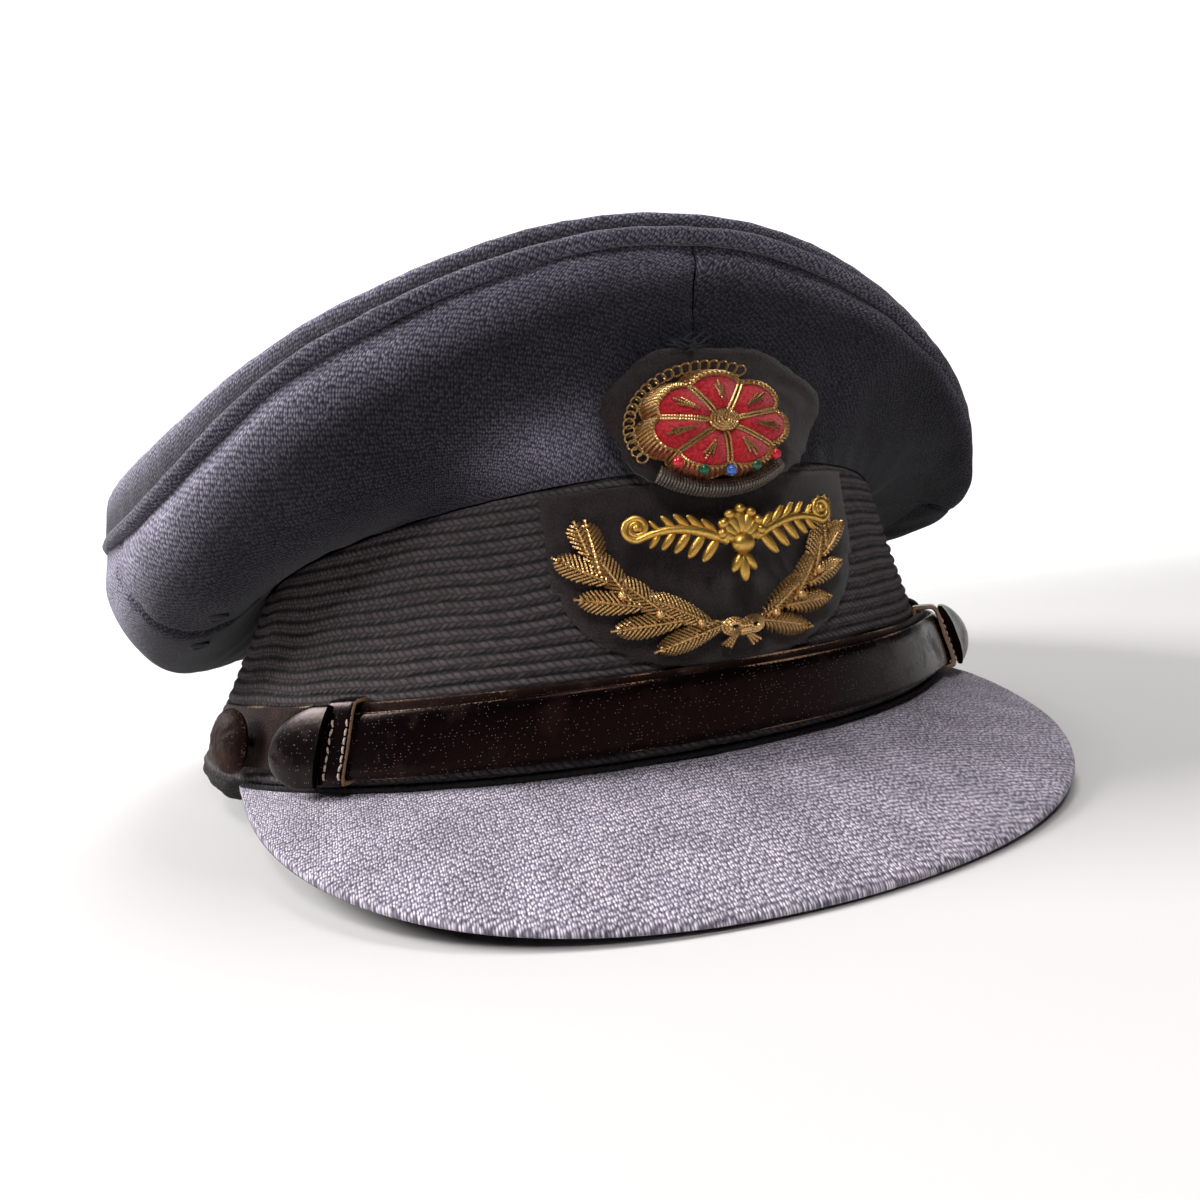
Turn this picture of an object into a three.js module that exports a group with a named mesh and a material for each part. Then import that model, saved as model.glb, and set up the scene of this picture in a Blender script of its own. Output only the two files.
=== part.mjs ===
// A peaked service cap of blue-grey wool cloth: a soft crown of a top panel and four quarters round
// a piped rim, a black ribbed band, a cloth-covered peak, a doubled leather chin strap with slides
// and leather buttons, and an embroidered and gilt badge on felt.
//
// Cap frame, millimetres: origin at the middle of the band's foot, front towards -Y, the wearer's
// right towards -X, +Z up. Angles run round the cap from 0 at the front to +90 at +X.

import * as THREE from 'three';
import { mergeVertices } from 'three/addons/utils/BufferGeometryUtils.js';

// Band, for a head of about 58 cm
const BAND_HALF_WIDTH = 91;
const BAND_FRONT = 96.5;
const BAND_REAR = 107.5;
const BAND_TOP_HALF_WIDTH = 73;
const BAND_TOP_FRONT = 98;
const BAND_TOP_REAR = 99;
const BAND_WALL = 3;
const BAND_DROP = 7;
const BAND_DROP_FROM = 64.5;
const BAND_DROP_TO = 76;
const BAND_TUCK = 4.5;

// Crown
const RIM_HALF_WIDTH = 104;
const RIM_FRONT = 96.5;
const RIM_REAR = 120;
const RIM_SET_BACK = -4.3;
const RIM_SQUARENESS = 2.2;
const RIM_LEAN = -4.8;
const UNDERSIDE_LEAN = 7.2;
const CLOTH = 2;
const QUARTER_CLOTH = 1.3;
const PIPING_RADIUS = 1.5;
const ROLL_WIDTH = 7;
const SIDE_SEAM = 68;
const SEAM_HALF_ANGLE = 0.2;
const QUARTER_SEAT = 0.8;

// Peak
const PEAK_DEPTH = 35.4;
const PEAK_HALF_ANGLE = 63.5;
const PEAK_FULLNESS = 3.76;
const PEAK_TAPER = 1.23;
const PEAK_DROP = 22.8;
const PEAK_DROP_EASE = 13;
const PEAK_FORWARD = 0.64;
const PEAK_THICKNESS = 2.2;
const PEAK_TUCK = 2.4;

// Chin strap, its slides and buttons
const STRAP_WIDTH = 11;
const STRAP_FOOT = 2.2;
const STRAP_LIFT = 1.2;
const STRAP_END = 76;
const STRAP_SPRING = 1.5;
const SLIDE_WALL = 0.8;
const BUTTON_RADIUS = 6.3;
const BUTTON_DOME = 2.8;
const BUTTON_EDGE = 1.2;
const BUTTON_SHANK = 1.9;
const SHANK_RADIUS = 1.2;
const BUTTON_TIP = 0.24;

const FELT = 1.2;
const GAP = 0.35;
const DEG = Math.PI / 180;

// How far cloth is pressed flat where the cap stands on the table
const REST_FLAT = 0.4;

// One row for each 30 degrees round the crown, the same on both sides: height of the band's top, of
// the rim, and of the roll of cloth above it, then how far the quarter's profile is pulled out and
// up as it leaves the band, and out and up as it reaches the rim.
const COLUMNS = ['band', 'rim', 'roll', 'leaveOut', 'leaveUp', 'reachOut', 'reachUp'];
const ROWS = [
  [46.0, 83.3, 5.2, -4.5, 22.0, -1.0, -6.0],
  [44.5, 70.0, 6.0, 3.7, 11.0, 3.0, -6.0],
  [40.0, 48.0, 9.5, 9.2, -3.0, 3.6, -10.5],
  [34.0, 44.5, 9.3, 11.5, -10.5, 2.8, -23.5],
  [33.0, 46.5, 8.8, 12.7, -11.5, 3.4, -27.5],
  [33.0, 49.0, 8.4, 12.8, -9.5, 3.8, -27.5],
  [33.0, 50.0, 8.0, 12.5, -8.0, 4.2, -26.5],
];
const ROW_STEP = 30;

const v3 = (x, y, z) => new THREE.Vector3(x, y, z);
const UP = v3(0, 0, 1);

// A column of ROWS at any angle, joined smoothly from row to row.
function row(column, angle) {
  const last = ROWS.length - 1;
  const place = Math.abs(angle) / ROW_STEP;
  const i = Math.min(Math.floor(place), last - 1);
  const mirrored = (k) => (k < 0 ? -k : last - Math.abs(last - k));
  const value = (k) => ROWS[mirrored(k)][COLUMNS.indexOf(column)];
  const t = place - i;
  const slopeIn = (value(i + 1) - value(i - 1)) / 2;
  const slopeOut = (value(i + 2) - value(i)) / 2;
  const rise = value(i + 1) - value(i);
  const a = slopeIn + slopeOut - 2 * rise;
  const b = 3 * rise - 2 * slopeIn - slopeOut;
  return value(i) + t * (slopeIn + t * (b + t * a));
}

function smoothStep(from, to, x) {
  const t = THREE.MathUtils.clamp((x - from) / (to - from), 0, 1);
  return t * t * (3 - 2 * t);
}

// An oval whose front and back halves have their own depths.
function oval(halfWidth, front, rear, angle) {
  const c = Math.cos(angle * DEG);
  return v3(halfWidth * Math.sin(angle * DEG), -(c > 0 ? front : rear) * c, 0);
}

// The level outward direction of that oval.
function outward(halfWidth, front, rear, angle) {
  const c = Math.cos(angle * DEG);
  return v3(Math.sin(angle * DEG) / halfWidth, -c / (c > 0 ? front : rear), 0).normalize();
}

const bandTop = (angle) => row('band', angle);
const bandFoot = (angle) => -BAND_DROP * smoothStep(BAND_DROP_FROM, BAND_DROP_TO, Math.abs(angle));
const bandOut = (angle) => outward(BAND_HALF_WIDTH, BAND_FRONT, BAND_REAR, angle);

// A point on the band's outer face at a height, moved off it by some distance. Below the peak's
// level the braid is turned in under the band.
function onBand(angle, height, off) {
  const k = Math.max(height, 0) / bandTop(angle);
  const foot = oval(BAND_HALF_WIDTH, BAND_FRONT, BAND_REAR, angle);
  const top = oval(BAND_TOP_HALF_WIDTH, BAND_TOP_FRONT, BAND_TOP_REAR, angle);
  const tuck = BAND_TUCK * (Math.min(height, 0) / BAND_DROP) ** 2;
  const point = foot.lerp(top, k).addScaledVector(bandOut(angle), off - tuck);
  point.z = height;
  return point;
}

// The rim, a squared oval in plan whose height follows the rows and leans to the wearer's left.
function rim(angle) {
  const s = Math.sin(angle * DEG);
  const c = Math.cos(angle * DEG);
  const squared = (value) => Math.sign(value) * Math.abs(value) ** (2 / RIM_SQUARENESS);
  const depth = c > 0 ? RIM_FRONT : RIM_REAR;
  const height = row('rim', angle) + RIM_LEAN * s;
  return v3(RIM_HALF_WIDTH * squared(s), RIM_SET_BACK - depth * squared(c), height);
}
const rimOut = (angle) => outward(RIM_HALF_WIDTH, RIM_FRONT, RIM_REAR, angle);

// A quarter's outer face: a cubic curve from the band's top (t 0) to just under the piping (t 1).
function quarterFace(angle, t) {
  const out = rimOut(angle);
  const start = onBand(angle, bandTop(angle), 0).addScaledVector(UP, QUARTER_SEAT);
  const end = rim(angle).addScaledVector(UP, -PIPING_RADIUS - GAP);
  const leave = start.clone().addScaledVector(out, row('leaveOut', angle));
  leave.addScaledVector(UP, row('leaveUp', angle));
  const reach = end.clone().addScaledVector(out, row('reachOut', angle));
  reach.addScaledVector(UP, row('reachUp', angle));
  const point = new THREE.CubicBezierCurve3(start, leave, reach, end).getPoint(t);
  const lean = UNDERSIDE_LEAN * Math.sin(angle * DEG) * 16 * (t * (1 - t)) ** 2;
  return point.addScaledVector(UP, lean);
}

// The top panel is stretched like a soap film over the rim: each wave of the rim's height fades
// towards the middle as the radius to the power of its number.
const WAVES = 4;
const RIM_WAVES = Array.from({ length: WAVES + 1 }, (_, n) => {
  const steps = 72;
  let sum = 0;
  for (let i = 0; i < steps; i += 1) {
    const angle = -180 + (i * 360) / steps;
    sum += row('rim', angle) * Math.cos(n * angle * DEG);
  }
  return (sum * (n === 0 ? 1 : 2)) / steps;
});
const ROLL_FADE = 0.5;

// The top panel's outer face at a distance in from the piping, 0 at the piping and 1 at the middle.
function topFace(angle, inward) {
  const edge = rim(angle);
  const middle = v3(0, RIM_SET_BACK, 0);
  const radius = edge.clone().sub(middle).setZ(0).length();
  const distance = inward * (radius - 1);
  const r = 1 - distance / radius;
  const film = RIM_WAVES.reduce((sum, wave, n) => sum + wave * r ** n * Math.cos(n * angle * DEG), 0);
  const filmAtRim = RIM_WAVES.reduce((sum, wave, n) => sum + wave * Math.cos(n * angle * DEG), 0);
  const trueToRim = r ** 12 * (row('rim', angle) - filmAtRim);
  const lean = RIM_LEAN * Math.sin(angle * DEG) * r;
  const rounded = Math.sqrt(1 - (1 - Math.min(distance / ROLL_WIDTH, 1)) ** 2);
  const fade = 1 - ROLL_FADE * smoothStep(0.1, 0.9, inward);
  const roll = (row('roll', angle) * r + row('roll', 90) * (1 - r)) * rounded * fade;
  const point = middle.lerp(edge.setZ(0), r);
  point.z = film + trueToRim + lean + PIPING_RADIUS + GAP + roll;
  return point;
}

// The cap stands tipped back a little, on the front of the peak and the back of the band. The table
// is a plane in the cap frame, and cloth that would go below it is pressed flat onto it.
const TOE = peakPoint(0, 1, PEAK_THICKNESS * 0.9);
const HEEL = onBand(180, -BAND_DROP, 0);
const TILT = Math.atan2(TOE.z - HEEL.z, HEEL.y - TOE.y);
const TABLE_UP = v3(0, Math.sin(TILT), Math.cos(TILT));
const TABLE_LEVEL = TABLE_UP.dot(HEEL) + REST_FLAT;
function pressed(point) {
  const below = TABLE_LEVEL - TABLE_UP.dot(point);
  return below > 0 ? point.addScaledVector(TABLE_UP, below) : point;
}

// Mesh building: points and triangles gathered into one closed body whose faces point out.
class Body {
  constructor() {
    this.points = [];
    this.triangles = [];
  }

  add(point) {
    return this.points.push(point) - 1;
  }

  quad(a, b, c, d) {
    this.triangles.push([a, b, c], [a, c, d]);
  }

  geometry() {
    const volume = this.triangles.reduce((sum, [a, b, c]) => {
      const [p, q, r] = [this.points[a], this.points[b], this.points[c]];
      return sum + p.dot(q.clone().cross(r));
    }, 0);
    const order = volume < 0 ? [0, 2, 1] : [0, 1, 2];
    const geometry = new THREE.BufferGeometry();
    const flat = this.points.flatMap((p) => [p.x, p.y, p.z]);
    geometry.setAttribute('position', new THREE.Float32BufferAttribute(flat, 3));
    geometry.setIndex(this.triangles.flatMap((triangle) => order.map((k) => triangle[k])));
    const merged = mergeVertices(geometry, 1e-4);
    merged.computeVertexNormals();
    return merged;
  }
}

// A closed section, a list of points, carried through a row of places; looped, or capped by fans.
function lofted(sections, looped = false) {
  const body = new Body();
  const rings = sections.map((section) => section.map((point) => body.add(point)));
  const count = looped ? rings.length : rings.length - 1;
  for (let i = 0; i < count; i += 1) {
    const here = rings[i];
    const next = rings[(i + 1) % rings.length];
    here.forEach((a, k) => {
      const j = (k + 1) % here.length;
      body.quad(a, next[k], next[j], here[j]);
    });
  }
  if (!looped) {
    for (const [end, flip] of [[rings[0], false], [rings[rings.length - 1], true]]) {
      const middle = sections[flip ? sections.length - 1 : 0].reduce((sum, p) => sum.add(p), v3(0, 0, 0));
      const centre = body.add(middle.divideScalar(end.length));
      end.forEach((a, k) => {
        const b = end[(k + 1) % end.length];
        body.triangles.push(flip ? [centre, b, a] : [centre, a, b]);
      });
    }
  }
  return body.geometry();
}

// A wall between an outer and an inner face, both given as rows of points; looped or with two ends.
function walled(outer, inner, looped = false) {
  const body = new Body();
  const out = outer.map((line) => line.map((point) => body.add(point)));
  const inn = inner.map((line) => line.map((point) => body.add(point)));
  const last = outer[0].length - 1;
  const count = looped ? outer.length : outer.length - 1;
  for (let i = 0; i < count; i += 1) {
    const j = (i + 1) % outer.length;
    for (let k = 0; k < last; k += 1) {
      body.quad(out[i][k], out[j][k], out[j][k + 1], out[i][k + 1]);
      body.quad(inn[i][k + 1], inn[j][k + 1], inn[j][k], inn[i][k]);
    }
    body.quad(inn[i][0], inn[j][0], out[j][0], out[i][0]);
    body.quad(out[i][last], out[j][last], inn[j][last], inn[i][last]);
  }
  if (!looped) {
    for (let k = 0; k < last; k += 1) {
      body.quad(out[0][k], out[0][k + 1], inn[0][k + 1], inn[0][k]);
      const end = outer.length - 1;
      body.quad(inn[end][k], inn[end][k + 1], out[end][k + 1], out[end][k]);
    }
  }
  return body.geometry();
}

// Rows of points for a face given as a function of angle and a second measure.
function faceRows(face, angles, measures) {
  return angles.map((angle) => measures.map((measure) => face(angle, measure)));
}

// The same face moved along its own normal, towards the inside of the cap.
function innerRows(face, angles, measures, distance) {
  const step = 0.11;
  return angles.map((angle) => measures.map((measure) => {
    const here = face(angle, measure);
    const low = Math.max(measure - step, 0);
    const high = Math.min(measure + step, 1);
    const along = face(angle, high).sub(face(angle, low));
    const round = face(angle + 1, measure).sub(face(angle - 1, measure));
    return here.addScaledVector(along.cross(round).normalize(), distance);
  }));
}

function spread(from, to, steps) {
  return Array.from({ length: steps + 1 }, (_, i) => from + ((to - from) * i) / steps);
}

// Crown
function quarter(from, to, steps, measures = spread(0, 1, 9)) {
  const angles = spread(from + SEAM_HALF_ANGLE, to - SEAM_HALF_ANGLE, steps);
  const inner = innerRows(quarterFace, angles, measures, QUARTER_CLOTH);
  return walled(faceRows(quarterFace, angles, measures), inner);
}

function crownTop() {
  const angles = spread(-180, 180, 48).slice(0, -1);
  const measures = [0, 0.008, 0.03, 0.065, 0.12, 0.22, 0.36, 0.55, 0.78, 1];
  const outer = faceRows(topFace, angles, measures);
  const inner = outer.map((line) => line.map((point) => point.clone().addScaledVector(UP, -CLOTH)));
  inner.forEach((line, i) => line[0].copy(outer[i][0]).addScaledVector(rimOut(angles[i]), -CLOTH));
  const body = new Body();
  const out = outer.map((line) => line.map((point) => body.add(point)));
  const inn = inner.map((line) => line.map((point) => body.add(point)));
  const last = measures.length - 1;
  const average = (rows) => {
    const sum = rows.reduce((total, line) => total.add(line[last]), v3(0, 0, 0));
    return body.add(sum.divideScalar(rows.length));
  };
  const topPole = average(outer);
  const underPole = average(inner);
  out.forEach((line, i) => {
    const j = (i + 1) % out.length;
    for (let k = 0; k < last; k += 1) {
      body.quad(line[k], out[j][k], out[j][k + 1], line[k + 1]);
      body.quad(inn[i][k + 1], inn[j][k + 1], inn[j][k], inn[i][k]);
    }
    body.quad(inn[i][0], inn[j][0], out[j][0], line[0]);
    body.triangles.push([line[last], out[j][last], topPole], [inn[j][last], inn[i][last], underPole]);
  });
  return body.geometry();
}

function piping() {
  const sections = spread(-180, 180, 80).slice(0, -1).map((angle) => {
    const centre = rim(angle);
    return spread(0, 360, 6).slice(0, -1).map((turn) => centre.clone()
      .addScaledVector(rimOut(angle), PIPING_RADIUS * Math.cos(turn * DEG))
      .addScaledVector(UP, PIPING_RADIUS * Math.sin(turn * DEG)));
  });
  return lofted(sections, true);
}

// Band: a looped wall, pressed flat where its back stands on the table
function band() {
  const angles = spread(-180, 180, 72).slice(0, -1);
  const line = (angle, off) => {
    const shoulder = 0.1 * bandTop(angle);
    const low = spread(bandFoot(angle), shoulder, 3);
    const heights = [...low, ...spread(shoulder, bandTop(angle), 2).slice(1)];
    return heights.map((height) => pressed(onBand(angle, height, off)));
  };
  const face = (off) => angles.map((angle) => line(angle, off));
  return walled(face(0), face(-BAND_WALL), true);
}

// Peak: a board that leaves the band's foot and falls forward, deepest at the middle
function peakPoint(angle, reach, under) {
  const u = Math.abs(angle) / PEAK_HALF_ANGLE;
  const depth = PEAK_DEPTH * Math.max(1 - u ** PEAK_FULLNESS, 0) ** PEAK_TAPER + 0.6;
  const fall = (PEAK_DROP - PEAK_DROP_EASE * u * u) * DEG;
  const out = bandOut(angle);
  const way = out.clone().multiplyScalar(1 - PEAK_FORWARD).add(v3(0, -PEAK_FORWARD, 0)).normalize();
  const root = oval(BAND_HALF_WIDTH, BAND_FRONT, BAND_REAR, angle);
  const curve = 0.78 * reach + 0.22 * reach * reach;
  const point = root.clone().addScaledVector(way, depth * Math.cos(fall) * reach);
  point.z = -GAP - depth * Math.sin(fall) * curve - under;
  if (reach === 0) point.addScaledVector(out, -PEAK_TUCK);
  return point;
}

function peak() {
  const angles = spread(-PEAK_HALF_ANGLE, PEAK_HALF_ANGLE, 40);
  const reaches = [0, 0.06, 0.3, 0.55, 0.8, 0.96];
  const sections = angles.map((angle) => [
    ...reaches.map((reach) => peakPoint(angle, reach, 0)),
    peakPoint(angle, 1, PEAK_THICKNESS * 0.35),
    peakPoint(angle, 1, PEAK_THICKNESS * 0.7),
    ...reaches.slice().reverse().map((reach) => peakPoint(angle, reach, PEAK_THICKNESS)),
  ].map(pressed));
  return lofted(sections);
}

// Chin strap: flat leather laid round the band between two angles, at a depth off the band. The
// outer layer springs away from the band before the wearer's left slide.
const spring = (angle) => STRAP_SPRING * smoothStep(36, 50, angle) * (1 - smoothStep(52, 66, angle));
function strapPlate(from, to, steps, low, depths, sprung) {
  const section = [[0, 0], [1, 0], [1, 1], [0, 1]];
  return lofted(spread(from, to, steps).map((angle) => section.map(([across, through]) => onBand(
    angle,
    low + STRAP_WIDTH * across,
    depths[through] + (sprung ? spring(angle) : 0),
  ))));
}

// A slide: a leather loop that goes round both layers of the strap
const LAYER_INNER = [2.0, 2.9];
const LAYER_OUTER = [3.2, 4.2];
function slide(from, to) {
  const low = STRAP_FOOT - GAP;
  const high = STRAP_FOOT + STRAP_WIDTH + STRAP_LIFT + GAP;
  const near = LAYER_INNER[0] - GAP;
  const far = (angle) => LAYER_OUTER[1] + GAP + spring(angle);
  const corners = (angle, grow) => [
    onBand(angle, low - grow, near - grow),
    onBand(angle, high + grow, near - grow),
    onBand(angle, high + grow, far(angle) + grow),
    onBand(angle, low - grow, far(angle) + grow),
  ];
  const angles = spread(from, to, 3);
  const body = new Body();
  const outer = angles.map((angle) => corners(angle, SLIDE_WALL).map((point) => body.add(point)));
  const inner = angles.map((angle) => corners(angle, 0).map((point) => body.add(point)));
  for (let k = 0; k < 4; k += 1) {
    const j = (k + 1) % 4;
    for (let i = 0; i < angles.length - 1; i += 1) {
      body.quad(outer[i][k], outer[i + 1][k], outer[i + 1][j], outer[i][j]);
      body.quad(inner[i][j], inner[i + 1][j], inner[i + 1][k], inner[i][k]);
    }
    const end = angles.length - 1;
    body.quad(outer[0][j], inner[0][j], inner[0][k], outer[0][k]);
    body.quad(outer[end][k], inner[end][k], inner[end][j], outer[end][j]);
  }
  return body.geometry();
}

// A slide's tab: a D of leather past the slide, round at its free end, which stands off by a lift
const TAB_HALF_HEIGHT = 7;
const TAB_THICKNESS = 1.1;
function slideTab(straight, round, lift) {
  const middle = STRAP_FOOT + STRAP_WIDTH / 2 + 0.4;
  return lofted(spread(0, 88, 8).map((turn) => {
    const reach = Math.sin(turn * DEG);
    const half = TAB_HALF_HEIGHT * Math.cos(turn * DEG);
    const angle = straight + (round - straight) * reach;
    const near = LAYER_OUTER[1] + GAP + spring(straight) + lift * reach;
    return [[-1, 0], [1, 0], [1, 1], [-1, 1]].map(
      ([up, through]) => onBand(angle, middle + half * up, near + TAB_THICKNESS * through),
    );
  }));
}

// A leather button: a dome on a flat back, on a short shank
function button() {
  const profile = [
    new THREE.Vector2(0, 0),
    new THREE.Vector2(SHANK_RADIUS, 0),
    new THREE.Vector2(SHANK_RADIUS, BUTTON_SHANK),
    new THREE.Vector2(BUTTON_RADIUS * 0.9, BUTTON_SHANK),
    new THREE.Vector2(BUTTON_RADIUS, BUTTON_SHANK + BUTTON_EDGE * 0.5),
    ...spread(0, 90, 5).map((turn) => new THREE.Vector2(
      BUTTON_RADIUS * Math.cos(turn * DEG),
      BUTTON_SHANK + BUTTON_EDGE + BUTTON_DOME * Math.sin(turn * DEG),
    )),
  ];
  profile[profile.length - 1].x = 0;
  const geometry = new THREE.LatheGeometry(profile, 20);
  geometry.deleteAttribute('uv');
  geometry.deleteAttribute('normal');
  const merged = mergeVertices(geometry, 1e-4);
  merged.computeVertexNormals();
  return merged;
}

// Badge
// A point on the front of the cap, band or quarter, at a width and height, moved off it by some
// distance. The angle is corrected until the width is right; on a quarter, halving finds the height.
function onFront(x, height, off) {
  let angle = Math.asin(x / BAND_TOP_HALF_WIDTH) / DEG;
  let point;
  for (let pass = 0; pass < 5; pass += 1) {
    if (height <= bandTop(angle) + QUARTER_SEAT) {
      point = onBand(angle, Math.min(height, bandTop(angle)), 0);
    } else {
      let low = 0;
      let high = 0.8;
      for (let halving = 0; halving < 16; halving += 1) {
        const middle = (low + high) / 2;
        if (quarterFace(angle, middle).z < height) low = middle;
        else high = middle;
      }
      point = quarterFace(angle, low);
    }
    angle += (x - point.x) / (BAND_TOP_HALF_WIDTH * Math.cos(angle * DEG) * DEG);
  }
  point.set(x, point.y, height);
  return point.addScaledVector(bandOut(angle), off);
}

// A plate on the front: an outline of [x, height] round a middle, domed at its middle by some height,
// with a boss of some depth behind it
function frontPlate(outline, middle, near, thickness, dome = 0, boss = 0, rings = 3) {
  const shrink = spread(1, 1 / rings, rings - 1);
  const body = new Body();
  const ring = (share, off) => outline.map(([x, z]) => body.add(onFront(
    middle[0] + (x - middle[0]) * share,
    middle[1] + (z - middle[1]) * share,
    off,
  )));
  const faces = [
    shrink.map((share) => ring(share, near - (share < 0.5 ? boss : 0))),
    shrink.map((share) => ring(share, near + thickness + dome * (1 - share * share))),
  ];
  const poles = [
    body.add(onFront(middle[0], middle[1], near - boss)),
    body.add(onFront(middle[0], middle[1], near + thickness + dome)),
  ];
  const count = outline.length;
  for (let k = 0; k < count; k += 1) {
    const j = (k + 1) % count;
    for (let i = 0; i < shrink.length - 1; i += 1) {
      body.quad(faces[1][i][k], faces[1][i][j], faces[1][i + 1][j], faces[1][i + 1][k]);
      body.quad(faces[0][i][j], faces[0][i][k], faces[0][i + 1][k], faces[0][i + 1][j]);
    }
    const inmost = shrink.length - 1;
    body.triangles.push([faces[1][inmost][k], faces[1][inmost][j], poles[1]]);
    body.triangles.push([faces[0][inmost][j], faces[0][inmost][k], poles[0]]);
    body.quad(faces[0][0][k], faces[0][0][j], faces[1][0][j], faces[1][0][k]);
  }
  return body.geometry();
}

// The felt under the badge: a shield on the band, and a smaller torn-edged piece above it
function patchLower() {
  const top = spread(28.5, -28.5, 10).map((x) => [x, 44.6]);
  const curved = spread(180, 0, 18).map((turn) => [
    27.5 * Math.cos(turn * DEG),
    29 - 15.5 * Math.sin(turn * DEG),
  ]);
  return frontPlate([...top, ...curved], [0, 31], GAP, FELT, 0, 0, 6);
}

function patchUpper() {
  const outline = spread(0, 360, 28).slice(0, -1).map((turn) => {
    const ragged = 1 + 0.05 * Math.sin(3 * turn * DEG) + 0.02 * Math.sin(7 * turn * DEG);
    return [0.8 + 19 * ragged * Math.cos(turn * DEG), 54 + 12.2 * ragged * Math.sin(turn * DEG)];
  });
  return frontPlate(outline, [0.8, 54], 2 * GAP + FELT, FELT);
}

// The rosette: a padded oval of eight petals over a short curved foot
const ROSETTE = { x: -1, height: 52.6, halfWidth: 12.6, halfHeight: 8.8, petals: 8, scallop: 0.6 };
const ROSETTE_FOOT = { reach: 44, depth: 2.2 };
const ON_UPPER_FELT = 3 * GAP + 2 * FELT;
function rosettePoint(turn, grow) {
  return [
    ROSETTE.x + (ROSETTE.halfWidth + grow) * Math.sin(turn * DEG),
    ROSETTE.height - (ROSETTE.halfHeight + grow) * Math.cos(turn * DEG),
  ];
}

function rosettePad() {
  const outline = spread(0, 360, 48).slice(0, -1)
    .map((turn) => rosettePoint(turn, ROSETTE.scallop * Math.cos(ROSETTE.petals * turn * DEG)));
  return frontPlate(outline, [ROSETTE.x, ROSETTE.height], ON_UPPER_FELT, 2, 3);
}

function rosetteFoot() {
  const inside = ROSETTE.scallop + GAP;
  const section = [[0, 0], [1, 0], [0.9, 1.5], [0.5, 2], [0.1, 1.5]];
  const turns = spread(-ROSETTE_FOOT.reach, ROSETTE_FOOT.reach, 10);
  return lofted(turns.map((turn) => section.map(([share, lift]) => {
    const [x, height] = rosettePoint(turn, inside + share * ROSETTE_FOOT.depth);
    return onFront(x, height, ON_UPPER_FELT + lift);
  })));
}

// The gilt ornament: a palmette between two spread scrolls, half of its outline as [x, height]
const ON_LOWER_FELT = 2 * GAP + FELT;
const SPRAY_HEIGHT = 2;
const ORNAMENT_MIDDLE = [0.3, 35];
const ORNAMENT_HALF = [
  [0, 39.2], [3, 38], [5.4, 39], [8.2, 37.8], [13, 38.8], [18.4, 40], [22.4, 39.2],
  [20.4, 36.7], [16.2, 35.4], [11.3, 34.6], [7.5, 33], [5, 31.4], [2.6, 29.6], [0, 28.4],
];
function giltOrnament() {
  const right = ORNAMENT_HALF.map(([x, z]) => [ORNAMENT_MIDDLE[0] + x, z]);
  const left = ORNAMENT_HALF.slice(1, -1).reverse().map(([x, z]) => [ORNAMENT_MIDDLE[0] - x, z]);
  const near = ON_LOWER_FELT + SPRAY_HEIGHT + GAP;
  return frontPlate([...right, ...left], ORNAMENT_MIDDLE, near, 1.2, 1.6, near - ON_LOWER_FELT);
}

// A laurel spray of the wreath: it rises from the tie in a quarter oval, side +1 or -1
const WREATH = { x: -0.3, height: 37.5, depth: 17, from: 13, to: 88, leaf: 4.4 };
function spray(side, halfWidth) {
  const spine = (turn) => new THREE.Vector2(
    halfWidth * Math.sin(turn * DEG),
    -WREATH.depth * Math.cos(turn * DEG),
  );
  const across = [[-1, 0], [1, 0], [0.6, 0.8], [0, 1], [-0.6, 0.8]];
  return lofted(spread(WREATH.from, WREATH.to, 16).map((turn) => {
    const here = spine(turn);
    const along = spine(turn + 1).sub(here).normalize();
    const share = (turn - WREATH.from) / (WREATH.to - WREATH.from);
    const swell = Math.sin(Math.PI * Math.min(share * 0.95 + 0.04, 1)) ** 0.7;
    const width = WREATH.leaf * (0.25 + 0.75 * swell);
    return across.map(([sideways, lift]) => onFront(
      WREATH.x + side * (here.x - along.y * width * sideways),
      WREATH.height + here.y + along.x * width * sideways,
      ON_LOWER_FELT + SPRAY_HEIGHT * lift,
    ));
  }));
}

function wreathTie() {
  const outline = spread(0, 360, 20).slice(0, -1).map((turn) => {
    const c = Math.cos(turn * DEG);
    const s = Math.sin(turn * DEG);
    return [
      WREATH.x + 3.6 * c * (0.7 + 0.3 * Math.abs(c)),
      19.6 + 2.6 * s * (0.6 + 0.4 * Math.abs(c)),
    ];
  });
  return frontPlate(outline, [WREATH.x, 19.6], ON_LOWER_FELT, 1.4, 0.8);
}

// Materials
function finish(color, roughness, metalness = 0) {
  return new THREE.MeshStandardMaterial({ color, roughness, metalness });
}
const worsted = finish(0x4a4c5e, 0.92);
const blackBraid = finish(0x1c1817, 0.95);
const felt = finish(0x201a19, 0.98);
const patentLeather = finish(0x1a1210, 0.25);
const dullLeather = finish(0x33241f, 0.5);
const redVelvet = finish(0x9c1220, 0.9);
const gilt = finish(0xc9973f, 0.32, 1);
const goldBullion = finish(0xb38f45, 0.45, 0.8);
const silverPurl = finish(0x7a746a, 0.5, 0.7);

// Assembly
const cap = new THREE.Group();
function place(name, geometry, material, parent = cap) {
  const mesh = new THREE.Mesh(geometry, material);
  mesh.name = name;
  parent.add(mesh);
  return mesh;
}

place('crown_top', crownTop(), worsted);
place('crown_piping', piping(), worsted);
place('quarter_front_right', quarter(-SIDE_SEAM, 0, 11), worsted);
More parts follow.
